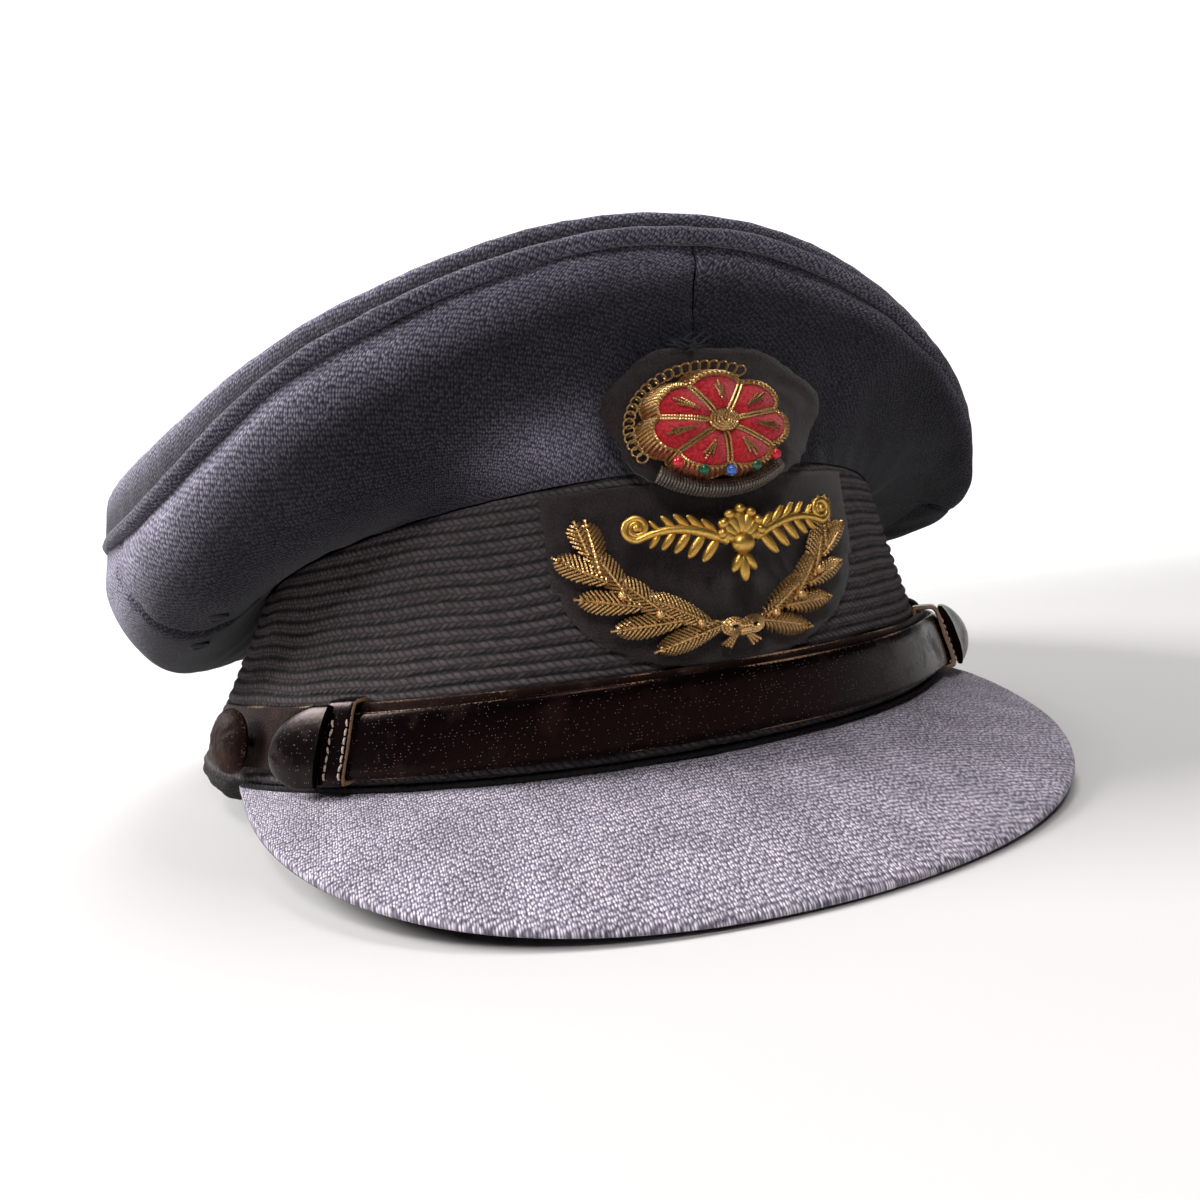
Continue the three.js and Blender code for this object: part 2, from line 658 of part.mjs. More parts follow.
// This quarter turns in sharply under the piping, so that its wall has no row between there and 0.72
const leftMeasures = [...spread(0, 0.72, 7), 1];
place('quarter_front_left', quarter(0, SIDE_SEAM, 11, leftMeasures), worsted);
place('quarter_rear_right', quarter(-180, -SIDE_SEAM, 17), worsted);
place('quarter_rear_left', quarter(SIDE_SEAM, 180, 17), worsted);
place('ribbed_band', band(), blackBraid);
place('peak', peak(), worsted);

// The two halves of the chin strap lie one over the other across the front. Each is buttoned at one
// side, and at the other it ends in a slide round both layers, with a tab past the slide.
const SLIDE_REACH = { right: [-46.5, -42.5], left: [43.5, 47.5] };
const TAB_REACH = { right: -6, left: 7 };
const UNDER_TAB = 3;
const TAB_CLEAR = 0.8;
const outerFrom = SLIDE_REACH.right[0] - UNDER_TAB;
const innerTo = SLIDE_REACH.left[1] + UNDER_TAB;
place(
  'chin_strap_outer',
  strapPlate(outerFrom, STRAP_END, 40, STRAP_FOOT, LAYER_OUTER, true),
  patentLeather,
);
place(
  'chin_strap_inner',
  strapPlate(-STRAP_END, innerTo, 42, STRAP_FOOT + STRAP_LIFT, LAYER_INNER, false),
  dullLeather,
);
place('strap_slide_right', slide(...SLIDE_REACH.right), patentLeather);
place('strap_slide_left', slide(...SLIDE_REACH.left), patentLeather);
const rightTab = SLIDE_REACH.right[0] - TAB_CLEAR;
const leftTab = SLIDE_REACH.left[1] + TAB_CLEAR;
place('slide_tab_right', slideTab(rightTab, rightTab + TAB_REACH.right, 0.4), patentLeather);
place('slide_tab_left', slideTab(leftTab, leftTab + TAB_REACH.left, 4), patentLeather);

const BUTTONS = [
  { name: 'button_right', angle: -63, layer: LAYER_INNER },
  { name: 'button_left', angle: 70, layer: LAYER_OUTER },
];
for (const { name, angle, layer } of BUTTONS) {
  const height = STRAP_FOOT + STRAP_WIDTH / 2 + 0.5;
  const round = onBand(angle + 1, height, 0).sub(onBand(angle - 1, height, 0));
  const along = onBand(angle, height + 1, 0).sub(onBand(angle, height - 1, 0));
  const out = round.cross(along).normalize().addScaledVector(UP, BUTTON_TIP).normalize();
  const seat = new THREE.Group();
  const tipped = SHANK_RADIUS * BUTTON_TIP;
  seat.position.copy(onBand(angle, height, layer[1] + GAP + tipped));
  seat.quaternion.setFromUnitVectors(v3(0, 1, 0), out);
  place(name, button(), dullLeather, seat);
  cap.add(seat);
}

place('badge_felt_lower', patchLower(), felt);
place('badge_felt_upper', patchUpper(), felt);
place('rosette_pad', rosettePad(), redVelvet);
place('rosette_foot', rosetteFoot(), silverPurl);
place('gilt_ornament', giltOrnament(), gilt);
place('wreath_spray_right', spray(-1, 22.6), goldBullion);
place('wreath_spray_left', spray(1, 19.4), goldBullion);
place('wreath_tie', wreathTie(), goldBullion);

// The cap standing on the table, with the origin under the middle of its box
cap.rotation.x = TILT;
cap.updateMatrixWorld(true);
const box = new THREE.Box3().setFromObject(cap, true);
const centre = box.getCenter(v3(0, 0, 0));
cap.position.set(-centre.x, -centre.y, -box.min.z);

const model = new THREE.Group();
model.add(cap);
export default model;
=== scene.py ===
"""A peaked service cap of blue-grey wool, standing on its band and peak on a pale floor.

The shape of the cap is worked out in millimetres in the cap's own frame: origin at the middle of
the band's foot, front towards -Y, the wearer's right towards -X, +Z up, with angles that run from
0 at the front to +90 at +X. CapShape.world then tips it onto its peak and turns it to metres.
"""

import logging
import math
from dataclasses import dataclass, field
from enum import Enum

import bpy
import numpy as np
from mathutils import Matrix, Vector


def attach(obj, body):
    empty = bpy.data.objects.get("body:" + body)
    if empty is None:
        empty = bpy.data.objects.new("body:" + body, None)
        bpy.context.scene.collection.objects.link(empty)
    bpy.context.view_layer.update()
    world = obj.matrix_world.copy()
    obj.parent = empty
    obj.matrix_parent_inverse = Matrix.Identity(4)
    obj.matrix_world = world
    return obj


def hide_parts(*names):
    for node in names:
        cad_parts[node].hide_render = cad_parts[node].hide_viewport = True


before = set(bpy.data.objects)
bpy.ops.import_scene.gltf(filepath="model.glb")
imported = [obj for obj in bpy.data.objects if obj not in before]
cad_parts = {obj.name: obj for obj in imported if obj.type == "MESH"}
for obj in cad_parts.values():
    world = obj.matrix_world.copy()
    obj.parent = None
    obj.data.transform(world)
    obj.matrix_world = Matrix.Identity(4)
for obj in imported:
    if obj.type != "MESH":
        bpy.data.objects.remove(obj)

Array = np.ndarray
Tree = bpy.types.NodeTree
Socket = bpy.types.NodeSocket
Material = bpy.types.Material
Piece = bpy.types.Object

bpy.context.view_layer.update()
LOG = logging.getLogger("cap")
MM = 0.001
SEED = 11
UP = np.array([0.0, 0.0, 1.0])
BARS_PER_UNIT = 3.18        # turns of the Wave texture's sine bands in one unit, 20 / (2 pi)


class Slot(Enum):
    """The record's material slots."""

    WOOL = "wool_cloth"
    BRAID = "black_braid"
    FELT = "black_felt"
    PATENT = "patent_leather"
    DULL = "dull_leather"
    VELVET = "red_velvet"
    GILT = "gilt_metal"
    BULLION = "gold_bullion"
    SILVER = "silver_purl"


class Ends(Enum):
    """How the open ends of a shell are closed."""

    OPEN = "open"
    FAN = "fan"
    STRIP = "strip"


# Numbers and curves


def smooth_step(low: float, high: float, x: Array) -> Array:
    """Rise from 0 at low to 1 at high along 3t^2 - 2t^3.

    Args:
        low: where the rise starts.
        high: where it ends.
        x: where to measure it.

    Returns:
        The share risen at each x.
    """
    t = np.clip((x - low) / (high - low), 0.0, 1.0)
    return t * t * (3.0 - 2.0 * t)


def bell(x: Array, middle: float, width: float) -> Array:
    """Give a Gaussian bump of height 1: exp(-((x - middle) / width)^2)."""
    return np.exp(-(((x - middle) / width) ** 2))


def unit(vectors: Array) -> Array:
    """Scale vectors on the last axis to length 1."""
    length = np.linalg.norm(vectors, axis=-1, keepdims=True)
    return vectors / np.maximum(length, 1e-12)


def stack(x: Array, y: Array, z: Array) -> Array:
    """Join three coordinates, spread to one shape, into points."""
    return np.stack(np.broadcast_arrays(x, y, z), axis=-1)


def pair(x: Array, y: Array) -> Array:
    """Join two coordinates, spread to one shape, into places."""
    return np.stack(np.broadcast_arrays(x, y), axis=-1)


def around(count: int) -> Array:
    """Spread angles evenly once round a circle, in radians, without its end."""
    return np.linspace(0.0, 2.0 * math.pi, count, endpoint=False)


def ripple(u: Array, v: Array | float, size: float, seed: int, waves: int = 9) -> Array:
    """Give a smooth random surface: a sum of plane sine waves of about one wavelength.

    Args:
        u: first coordinate.
        v: second coordinate, in the same unit.
        size: wavelength, in that unit.
        seed: picks the waves' directions and phases.
        waves: number of waves.

    Returns:
        Heights of about -1 to 1.
    """
    random = np.random.default_rng(SEED + seed)
    total = np.zeros(np.broadcast(u, v).shape)
    for _ in range(waves):
        way = random.uniform(0.0, 2.0 * math.pi)
        phase = random.uniform(0.0, 2.0 * math.pi)
        rate = 2.0 * math.pi / (size * random.uniform(0.7, 1.4))
        total = total + np.sin(rate * (u * math.cos(way) + v * math.sin(way)) + phase)
    return total / math.sqrt(waves) / 1.4


def clustered(low: float, high: float, count: int, pull: float = 0.6) -> Array:
    """Spread values from low to high, closer together at both ends: t - pull*sin(2 pi t)/(2 pi)."""
    t = np.linspace(0.0, 1.0, count)
    return low + (high - low) * (t - pull * np.sin(2.0 * math.pi * t) / (2.0 * math.pi))


# The shape of the cap

COLUMNS = ("band", "rim", "roll", "leave_out", "leave_up", "reach_out", "reach_up")
ROWS = np.array([
    [46.0, 83.3, 5.2, -4.5, 22.0, -1.0, -6.0],
    [44.5, 70.0, 6.0, 3.7, 11.0, 3.0, -6.0],
    [40.0, 48.0, 9.5, 9.2, -3.0, 3.6, -10.5],
    [34.0, 44.5, 9.3, 11.5, -10.5, 2.8, -23.5],
    [33.0, 46.5, 8.8, 12.7, -11.5, 3.4, -27.5],
    [33.0, 49.0, 8.4, 12.8, -9.5, 3.8, -27.5],
    [33.0, 50.0, 8.0, 12.5, -8.0, 4.2, -26.5],
])
ROW_STEP = 30.0


@dataclass(frozen=True)
class CapShape:
    """The cap's surfaces as functions of an angle round it and a second measure, in millimetres."""

    band_half_width: float = 91.0
    band_front: float = 96.5
    band_rear: float = 107.5
    band_top_half_width: float = 73.0
    band_top_front: float = 98.0
    band_top_rear: float = 99.0
    band_drop: float = 7.0
    band_drop_from: float = 64.5
    band_drop_to: float = 76.0
    band_tuck: float = 4.5
    rim_half_width: float = 104.0
    rim_front: float = 96.5
    rim_rear: float = 120.0
    rim_set_back: float = -4.3
    rim_squareness: float = 2.2
    rim_lean: float = -4.8
    underside_lean: float = 7.2
    quarter_seat: float = 0.8
    piping_radius: float = 1.5
    gap: float = 0.35
    roll_width: float = 7.0
    roll_fade: float = 0.5
    waves: int = 4
    peak_depth: float = 35.4
    peak_half_angle: float = 63.5
    peak_fullness: float = 3.76
    peak_taper: float = 1.23
    peak_drop: float = 22.8
    peak_drop_ease: float = 13.0
    peak_forward: float = 0.64
    peak_tuck: float = 2.4
    tilt_degrees: float = -2.28399
    stand_y: float = 5.558
    stand_z: float = 10.699

    def world(self, points: Array) -> Array:
        """Tip points of the cap frame onto the table, turn them to metres and keep them above it.

        Args:
            points: points in millimetres, on the last axis.

        Returns:
            The same points in metres in the frame of the CAD model.
        """
        tilt = math.radians(self.tilt_degrees)
        x, y, z = points[..., 0], points[..., 1], points[..., 2]
        level = y * math.cos(tilt) - z * math.sin(tilt) + self.stand_y
        up = y * math.sin(tilt) + z * math.cos(tilt) + self.stand_z
        return stack(x, level, np.maximum(up, 0.0)) * MM

    def row(self, column: str, angle: Array) -> Array:
        """Read a column of ROWS at any angle by a Catmull-Rom curve, the same on both sides."""
        table = ROWS[:, COLUMNS.index(column)]
        last = len(table) - 1
        place = np.abs(angle) / ROW_STEP
        i = np.minimum(np.floor(place).astype(int), last - 1)
        before, here, after, beyond = (
            table[np.where(k < 0, -k, last - np.abs(last - k))] for k in (i - 1, i, i + 1, i + 2)
        )
        t = place - i
        slope_in, slope_out, rise = (after - before) / 2, (beyond - here) / 2, after - here
        a = slope_in + slope_out - 2 * rise
        b = 3 * rise - 2 * slope_in - slope_out
        return here + t * (slope_in + t * (b + t * a))

    @staticmethod
    def oval(half_width: float, front: float, rear: float, angle: Array) -> Array:
        """Give points of an oval whose front and back halves have their own depths."""
        s, c = np.sin(np.radians(angle)), np.cos(np.radians(angle))
        return stack(half_width * s, -np.where(c > 0, front, rear) * c, np.zeros_like(s))

    @staticmethod
    def outward(half_width: float, front: float, rear: float, angle: Array) -> Array:
        """Give the level outward direction of that oval."""
        s, c = np.sin(np.radians(angle)), np.cos(np.radians(angle))
        return unit(stack(s / half_width, -c / np.where(c > 0, front, rear), np.zeros_like(s)))

    def band_out(self, angle: Array) -> Array:
        """Give the level outward direction of the band."""
        return self.outward(self.band_half_width, self.band_front, self.band_rear, angle)

    def band_foot(self, angle: Array) -> Array:
        """Give the height of the band's lower edge, which drops behind the peak's corners."""
        return -self.band_drop * smooth_step(self.band_drop_from, self.band_drop_to, np.abs(angle))

    def on_band(self, angle: Array, height: Array, off: Array | float) -> Array:
        """Find a point on the band: a cone between two ovals, turned in below the peak's level.

        Args:
            angle: angle round the cap, in degrees.
            height: height above the band's foot at the front.
            off: distance out of the band's face.

        Returns:
            Points in the cap frame.
        """
        angle, height, off = np.broadcast_arrays(angle, height, off)
        share = (np.maximum(height, 0.0) / self.row("band", angle))[..., None]
        foot = self.oval(self.band_half_width, self.band_front, self.band_rear, angle)
        top = self.oval(self.band_top_half_width, self.band_top_front, self.band_top_rear, angle)
        tuck = self.band_tuck * (np.minimum(height, 0.0) / self.band_drop) ** 2
        point = foot * (1 - share) + top * share + self.band_out(angle) * (off - tuck)[..., None]
        return stack(point[..., 0], point[..., 1], height)

    def rim(self, angle: Array) -> Array:
        """Find the middle of the piping: a squared oval whose height follows the rows."""
        s, c = np.sin(np.radians(angle)), np.cos(np.radians(angle))
        power = 2.0 / self.rim_squareness
        across = self.rim_half_width * np.sign(s) * np.abs(s) ** power
        depth = np.where(c > 0, self.rim_front, self.rim_rear)
        along = self.rim_set_back - depth * np.sign(c) * np.abs(c) ** power
        return stack(across, along, self.row("rim", angle) + self.rim_lean * s)

    def rim_out(self, angle: Array) -> Array:
        """Give the level outward direction of the rim."""
        return self.outward(self.rim_half_width, self.rim_front, self.rim_rear, angle)

    def on_quarter(self, angle: Array, t: Array) -> Array:
        """Find a point on a quarter: a cubic Bezier curve from the band's top to the piping.

        Args:
            angle: angle round the cap, in degrees.
            t: share of the curve, 0 at the band and 1 at the piping.

        Returns:
            Points in the cap frame.
        """
        angle, t = np.broadcast_arrays(angle, t)
        out = self.rim_out(angle)
        start = self.on_band(angle, self.row("band", angle), 0.0) + UP * self.quarter_seat
        end = self.rim(angle) - UP * (self.piping_radius + self.gap)
        leave = start + out * self.row("leave_out", angle)[..., None]
        leave = leave + UP * self.row("leave_up", angle)[..., None]
        reach = end + out * self.row("reach_out", angle)[..., None]
        reach = reach + UP * self.row("reach_up", angle)[..., None]
        k = t[..., None]
        point = start * (1 - k) ** 3 + 3 * leave * k * (1 - k) ** 2
        point = point + 3 * reach * k ** 2 * (1 - k) + end * k ** 3
        lean = self.underside_lean * np.sin(np.radians(angle)) * 16 * (t * (1 - t)) ** 2
        return point + UP * lean[..., None]

    def on_top(self, angle: Array, inward: Array) -> Array:
        """Find a point on the top panel: a soap film over the rim, with a roll of cloth round it.

        Args:
            angle: angle round the cap, in degrees.
            inward: 0 at the piping, 1 at the middle.

        Returns:
            Points in the cap frame.
        """
        angle, inward = np.broadcast_arrays(angle, inward)
        edge = self.rim(angle)
        middle = np.array([0.0, self.rim_set_back])
        radius = np.linalg.norm(edge[..., :2] - middle, axis=-1)
        distance = inward * radius
        r = 1.0 - inward
        turns = np.radians(angle)
        every = np.linspace(-180.0, 180.0, 72, endpoint=False)
        film, at_rim = np.zeros(r.shape), np.zeros(r.shape)
        for n in range(self.waves + 1):
            wave = (self.row("rim", every) * np.cos(n * np.radians(every))).mean() * (2 if n else 1)
            film = film + wave * r ** n * np.cos(n * turns)
            at_rim = at_rim + wave * np.cos(n * turns)
        film = film + r ** 12 * (self.row("rim", angle) - at_rim)
        lean = self.rim_lean * np.sin(turns) * r
        rounded = np.sqrt(1.0 - (1.0 - np.minimum(distance / self.roll_width, 1.0)) ** 2)
        fade = 1.0 - self.roll_fade * smooth_step(0.1, 0.9, inward)
        roll = self.row("roll", angle) * r + self.row("roll", np.array(90.0)) * (1.0 - r)
        flat = middle * (1.0 - r[..., None]) + edge[..., :2] * r[..., None]
        height = film + lean + self.piping_radius + self.gap + roll * rounded * fade
        return stack(flat[..., 0], flat[..., 1], height)

    def on_peak(self, angle: Array, reach: Array | float, under: Array | float) -> Array:
        """Find a point on the peak, a board that leaves the band's foot and falls forward.

        Args:
            angle: angle round the cap, within peak_half_angle.
            reach: 0 at the band, 1 at the edge.
            under: depth below the upper face.

        Returns:
            Points in the cap frame.
        """
        angle, reach, under = np.broadcast_arrays(angle, reach, under)
        u = np.abs(angle) / self.peak_half_angle
        full = np.maximum(1.0 - u ** self.peak_fullness, 0.0)
        depth = self.peak_depth * full ** self.peak_taper + 0.6
        fall = np.radians(self.peak_drop - self.peak_drop_ease * u * u)
        out = self.band_out(angle)
        way = out * (1.0 - self.peak_forward) + np.array([0.0, -self.peak_forward, 0.0])
        root = self.oval(self.band_half_width, self.band_front, self.band_rear, angle)
        root = root - out * (self.peak_tuck * (1.0 - smooth_step(0.0, 0.06, reach)))[..., None]
        point = root + unit(way) * (depth * np.cos(fall) * reach)[..., None]
        curve = 0.78 * reach + 0.22 * reach * reach
        return stack(
            point[..., 0],
            point[..., 1],
            -self.gap - depth * np.sin(fall) * curve - under,
        )

    def on_front(self, x: Array, height: Array, off: Array | float) -> Array:
        """Find a point on the front of the cap, on band or quarter, at a width and height.

        The angle is corrected until the width is right, and halving finds the place on a quarter.

        Args:
            x: width, towards the wearer's left.
            height: height above the band's foot.
            off: distance out of the face.

        Returns:
            Points in the cap frame.
        """
        x, height, off = np.broadcast_arrays(x, height, off)
        angle = np.degrees(np.arcsin(x / self.band_top_half_width))
        for _ in range(5):
            top = self.row("band", angle)
            low, high = np.zeros(x.shape), np.full(x.shape, 0.8)
            for _ in range(14):
                middle = (low + high) / 2
                under = self.on_quarter(angle, middle)[..., 2] < height
                low, high = np.where(under, middle, low), np.where(under, high, middle)
            on_band = (height <= top + self.quarter_seat)[..., None]
            below = self.on_band(angle, np.minimum(height, top), 0.0)
            point = np.where(on_band, below, self.on_quarter(angle, low))
            slope = self.band_top_half_width * np.cos(np.radians(angle)) * math.radians(1.0)
            angle = angle + (x - point[..., 0]) / slope
        point = stack(x, point[..., 1], height)
        return point + self.band_out(angle) * off[..., None]


SHAPE = CapShape()


# Meshes


def arc_map(points: Array, loop_u: bool, loop_v: bool) -> Array:
    """Give each point of a grid a UV place in metres: the mean length run along both ways.

    Args:
        points: [copies, n, m, 3] points in metres.
        loop_u: whether the first way closes on itself.
        loop_v: whether the second way does.

    Returns:
        [copies, n (+1), m (+1), 2] places, with one more where a way closes.
    """
    full = points
    if loop_u:
        full = np.concatenate([full, full[:, :1]], axis=1)
    if loop_v:
        full = np.concatenate([full, full[:, :, :1]], axis=2)
    along = np.linalg.norm(np.diff(full, axis=1), axis=-1).mean(axis=2)
    across = np.linalg.norm(np.diff(full, axis=2), axis=-1).mean(axis=1)
    u = np.concatenate([np.zeros((len(full), 1)), np.cumsum(along, axis=1)], axis=1)
    v = np.concatenate([np.zeros((len(full), 1)), np.cumsum(across, axis=1)], axis=1)
    return np.stack(np.broadcast_arrays(u[:, :, None], v[:, None, :]), axis=-1)


@dataclass
class Skin:
    """Closed shells gathered into one mesh, with a UV map in metres and a value per point of wear and
    painted shade.
    """

    name: str
    points: list[Array] = field(default_factory=list)
    wear_and_shade: list[Array] = field(default_factory=list)
    corners: list[Array] = field(default_factory=list)
    sides: list[Array] = field(default_factory=list)
    places: list[Array] = field(default_factory=list)
    count: int = 0

    def shell(
        self,
        points: Array,
        loop: tuple[bool, bool] = (False, True),
        ends: Ends = Ends.FAN,
        uv: Array | None = None,
        wear_and_shade: Array | float = 0.0,
    ) -> None:
        """Add copies of a closed shell: a section carried along a path.

        Each section is a row of points on the third axis. FAN closes the first and last sections
        with triangles round a middle point, or the poles where the path loops and the sections
        are open. STRIP joins the first half of a section to its second half. The signed volume,
        a sum of p . (q x r) over the triangles, tells which way a shell faces, and one that faces
        in is turned round.

        Args:
            points: [copies, n, m, 3] points in metres, or [n, m, 3] for one copy.
            loop: whether the path and the section close on themselves.
            ends: how the ends are closed.
            uv: UV places of arc_map's shape, or None to take them from arc_map.
            wear_and_shade: value of wear and painted shade of the points, [copies, n, m] or one for all.
        """
        if points.ndim == 3:
            points = points[None]
        copies, n, m, _ = points.shape
        uv = arc_map(points, *loop) if uv is None else np.broadcast_to(uv, (copies, *uv.shape[-3:]))
        worn_and_shaded = np.broadcast_to(np.asarray(wear_and_shade, dtype=float), (copies, n, m)).reshape(copies, -1)
        i, j = np.meshgrid(
            np.arange(n if loop[0] else n - 1),
            np.arange(m if loop[1] else m - 1),
            indexing="ij",
        )
        i, j = i.ravel(), j.ravel()
        width = uv.shape[2]
        steps = ((0, 0), (1, 0), (1, 1), (0, 1))
        quads = np.stack([(i + a) % n * m + (j + b) % m for a, b in steps], axis=-1)
        quad_uv = np.stack([(i + a) * width + j + b for a, b in steps], axis=-1)
        flat = points.reshape(copies, n * m, 3)
        flat_uv = uv.reshape(copies, -1, 2)
        triangles = np.zeros((0, 3), dtype=int)
        triangle_uv = np.zeros((0, 3), dtype=int)
        poles = loop[0] and not loop[1]
        if ends is Ends.STRIP:
            k = np.arange(m // 2 - 1)
            strip = np.stack([k, k + 1, m - 2 - k, m - 1 - k], axis=-1)
            last = (n - 1) * m + strip[:, ::-1]
            last_uv = (n - 1) * width + strip[:, ::-1]
            quads = np.concatenate([quads, strip, last])
            quad_uv = np.concatenate([quad_uv, strip, last_uv])
        elif ends is Ends.FAN:
            rings = ((0, 1), (m - 1, -1)) if poles else ((0, 1), (n - 1, -1))
            for place, turn in rings:
                k = np.arange(n if poles else m)
                ring = k * m + place if poles else place * m + k
                ring_uv = k * width + place if poles else place * width + k
                centre = flat[:, ring].mean(axis=1, keepdims=True)
                centre_uv = flat_uv[:, ring_uv].mean(axis=1, keepdims=True)
                worn_and_shaded = np.concatenate([worn_and_shaded, worn_and_shaded[:, ring].mean(axis=1, keepdims=True)], axis=1)
                fan = np.stack([np.full(len(k), flat.shape[1]), np.roll(ring, -1), ring], axis=-1)
                fan_uv = np.stack(
                    [np.full(len(k), flat_uv.shape[1]), np.roll(ring_uv, -1), ring_uv],
                    axis=-1,
                )
                flat = np.concatenate([flat, centre], axis=1)
                flat_uv = np.concatenate([flat_uv, centre_uv], axis=1)
                turn = turn if poles else -turn
                triangles = np.concatenate([triangles, fan[:, ::turn]])
                triangle_uv = np.concatenate([triangle_uv, fan_uv[:, ::turn]])
        self.points.append(flat.reshape(-1, 3))
        self.wear_and_shade.append(worn_and_shaded.reshape(-1))
        inside_out = self._volume(flat, quads) < 0
        self._store(flat, flat_uv, quads, quad_uv, inside_out)
        if len(triangles):
            self._store(flat, flat_uv, triangles, triangle_uv, inside_out)
        self.count += flat.shape[0] * flat.shape[1]

    @staticmethod
    def _volume(flat: Array, faces: Array) -> Array:
        """Sum p . (q x r) over the fans of the faces of each copy, about each copy's middle."""
        local = flat - flat.mean(axis=1, keepdims=True)
        total = np.zeros(len(flat))
        for k in range(1, faces.shape[1] - 1):
            p, q, r = local[:, faces[:, 0]], local[:, faces[:, k]], local[:, faces[:, k + 1]]
            total = total + (p * np.cross(q, r)).sum(axis=(1, 2))
        return total

    def _store(
        self,
        flat: Array,
        flat_uv: Array,
        faces: Array,
        faces_uv: Array,
        inside_out: Array,
    ) -> None:
        """Add faces with their corners' UV places, with those of inside_out copies turned round."""
        size = faces.shape[1]
        offsets = self.count + np.arange(len(flat))[:, None, None] * flat.shape[1]
        turn = inside_out[:, None, None]
        corners = offsets + np.where(turn, faces[None, :, ::-1], faces[None])
        chosen = np.where(turn, faces_uv[None, :, ::-1], faces_uv[None]).reshape(len(flat), -1)
        places = np.take_along_axis(flat_uv, chosen[..., None], axis=1)
        self.corners.append(corners.reshape(-1))
        self.sides.append(np.full(len(flat) * len(faces), size))
        self.places.append(places.reshape(-1, 2))

    def rod(
        self,
        path: Array,
        side: Array,
        radius: Array | float,
        sides: int = 8,
        flat: float = 1.0,
        loop: bool = False,
        wear_and_shade: Array | float = 0.0,
    ) -> None:
        """Add copies of a rod: an ellipse carried along a path, square to it.

        Args:
            path: [copies, n, 3] or [n, 3] points in metres.
            side: outward directions of the same shape, the ellipse's short axis.
            radius: half the width, one value or one for each point.
            sides: number of points of the ellipse.
            flat: height over width.
            loop: whether the path closes on itself.
            wear_and_shade: value of wear and painted shade, one or one for each point of the path.
        """
        if path.ndim == 2:
            path, side = path[None], side[None]
        if loop:
            along = np.roll(path, -1, axis=1) - np.roll(path, 1, axis=1)
        else:
            along = np.gradient(path, axis=1)
        along = unit(along)
        out = unit(side - along * (side * along).sum(axis=-1, keepdims=True))
        across = np.cross(along, out)
        turn = around(sides)
        size = np.broadcast_to(np.asarray(radius, dtype=float), path.shape[:2])[..., None, None]
        ring = across[:, :, None] * np.cos(turn)[:, None] + out[:, :, None] * (
            flat * np.sin(turn)[:, None]
        )
        worn_and_shaded = np.broadcast_to(np.asarray(wear_and_shade, dtype=float), path.shape[:2])[..., None]
        self.shell(
            path[:, :, None] + ring * size,
            loop=(loop, True),
            ends=Ends.OPEN if loop else Ends.FAN,
            wear_and_shade=np.broadcast_to(worn_and_shaded, (*path.shape[:2], sides)),
        )

    def blobs(
        self,
        centres: Array,
        axes: Array,
        rings: int = 5,
        sides: int = 8,
        wear_and_shade: Array | float = 0.0,
    ) -> None:
        """Add ellipsoids: middle + axes applied to the unit sphere's points.

        Args:
            centres: [copies, 3] middles in metres.
            axes: [copies, 3, 3] half axes as rows, the poles on the last.
            rings: number of rings between the poles.
            sides: number of points of a ring.
            wear_and_shade: value of wear and painted shade, one or one for each copy.
        """
        turn = around(sides)[:, None]
        rise = np.linspace(-0.5 * math.pi, 0.5 * math.pi, rings + 2)[None, 1:-1]
        ball = stack(np.cos(turn) * np.cos(rise), np.sin(turn) * np.cos(rise), np.sin(rise))
        grid = centres[:, None, None] + np.einsum("nmk,ckd->cnmd", ball, axes)
        worn_and_shaded = np.broadcast_to(np.asarray(wear_and_shade, dtype=float), (len(centres),))[:, None, None]
        self.shell(grid, loop=(True, False), wear_and_shade=np.broadcast_to(worn_and_shaded, grid.shape[:3]))

    def finish(
        self,
        materials: list[Material],
        slot: Slot,
        replaces: tuple[str, ...] = (),
        sharp: float = 50.0,
    ) -> Piece:
        """Make the mesh, ride it on the cap and hide the CAD parts that it stands for.

        Args:
            materials: its materials.
            slot: the record's slot; not used.
            replaces: nodes that it stands for.
            sharp: angle between faces, in degrees, past which an edge isn't smoothed.

        Returns:
            The object.
        """
        points = np.concatenate(self.points).astype(np.float32)
        corners = np.concatenate(self.corners)
        sides = np.concatenate(self.sides)
        mesh = bpy.data.meshes.new(self.name)
        mesh.vertices.add(len(points))
        mesh.vertices.foreach_set("co", points.ravel())
        mesh.loops.add(len(corners))
        mesh.loops.foreach_set("vertex_index", corners.astype(np.int32))
        mesh.polygons.add(len(sides))
        starts = np.concatenate([[0], np.cumsum(sides)[:-1]])
        mesh.polygons.foreach_set("loop_start", starts.astype(np.int32))
        layer = mesh.uv_layers.new(name="run")
        layer.data.foreach_set("uv", np.concatenate(self.places).astype(np.float32).ravel())
        worn_and_shaded = mesh.attributes.new("wear_and_shade", "FLOAT", "POINT")
        worn_and_shaded.data.foreach_set("value", np.concatenate(self.wear_and_shade).astype(np.float32))
        mesh.update(calc_edges=True)
        mesh.validate()
        mesh.shade_smooth()
        mesh.set_sharp_from_angle(angle=math.radians(sharp))
        piece = bpy.data.objects.new(self.name, mesh)
        bpy.context.scene.collection.objects.link(piece)
        for material in materials:
            mesh.materials.append(material)
        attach(piece, "root")
        if replaces:
            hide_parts(*replaces)
        LOG.info("%s: %d faces", self.name, len(sides))
        return piece


# Finishes


def colour(code: str) -> tuple[float, float, float, float]:
    """Turn an sRGB hex colour to linear: ((c + 0.055) / 1.055)^2.4, or c / 12.92 when dark."""
    parts = [int(code[k:k + 2], 16) / 255.0 for k in (1, 3, 5)]
    linear = [c / 12.92 if c <= 0.04045 else ((c + 0.055) / 1.055) ** 2.4 for c in parts]
    return (*linear, 1.0)


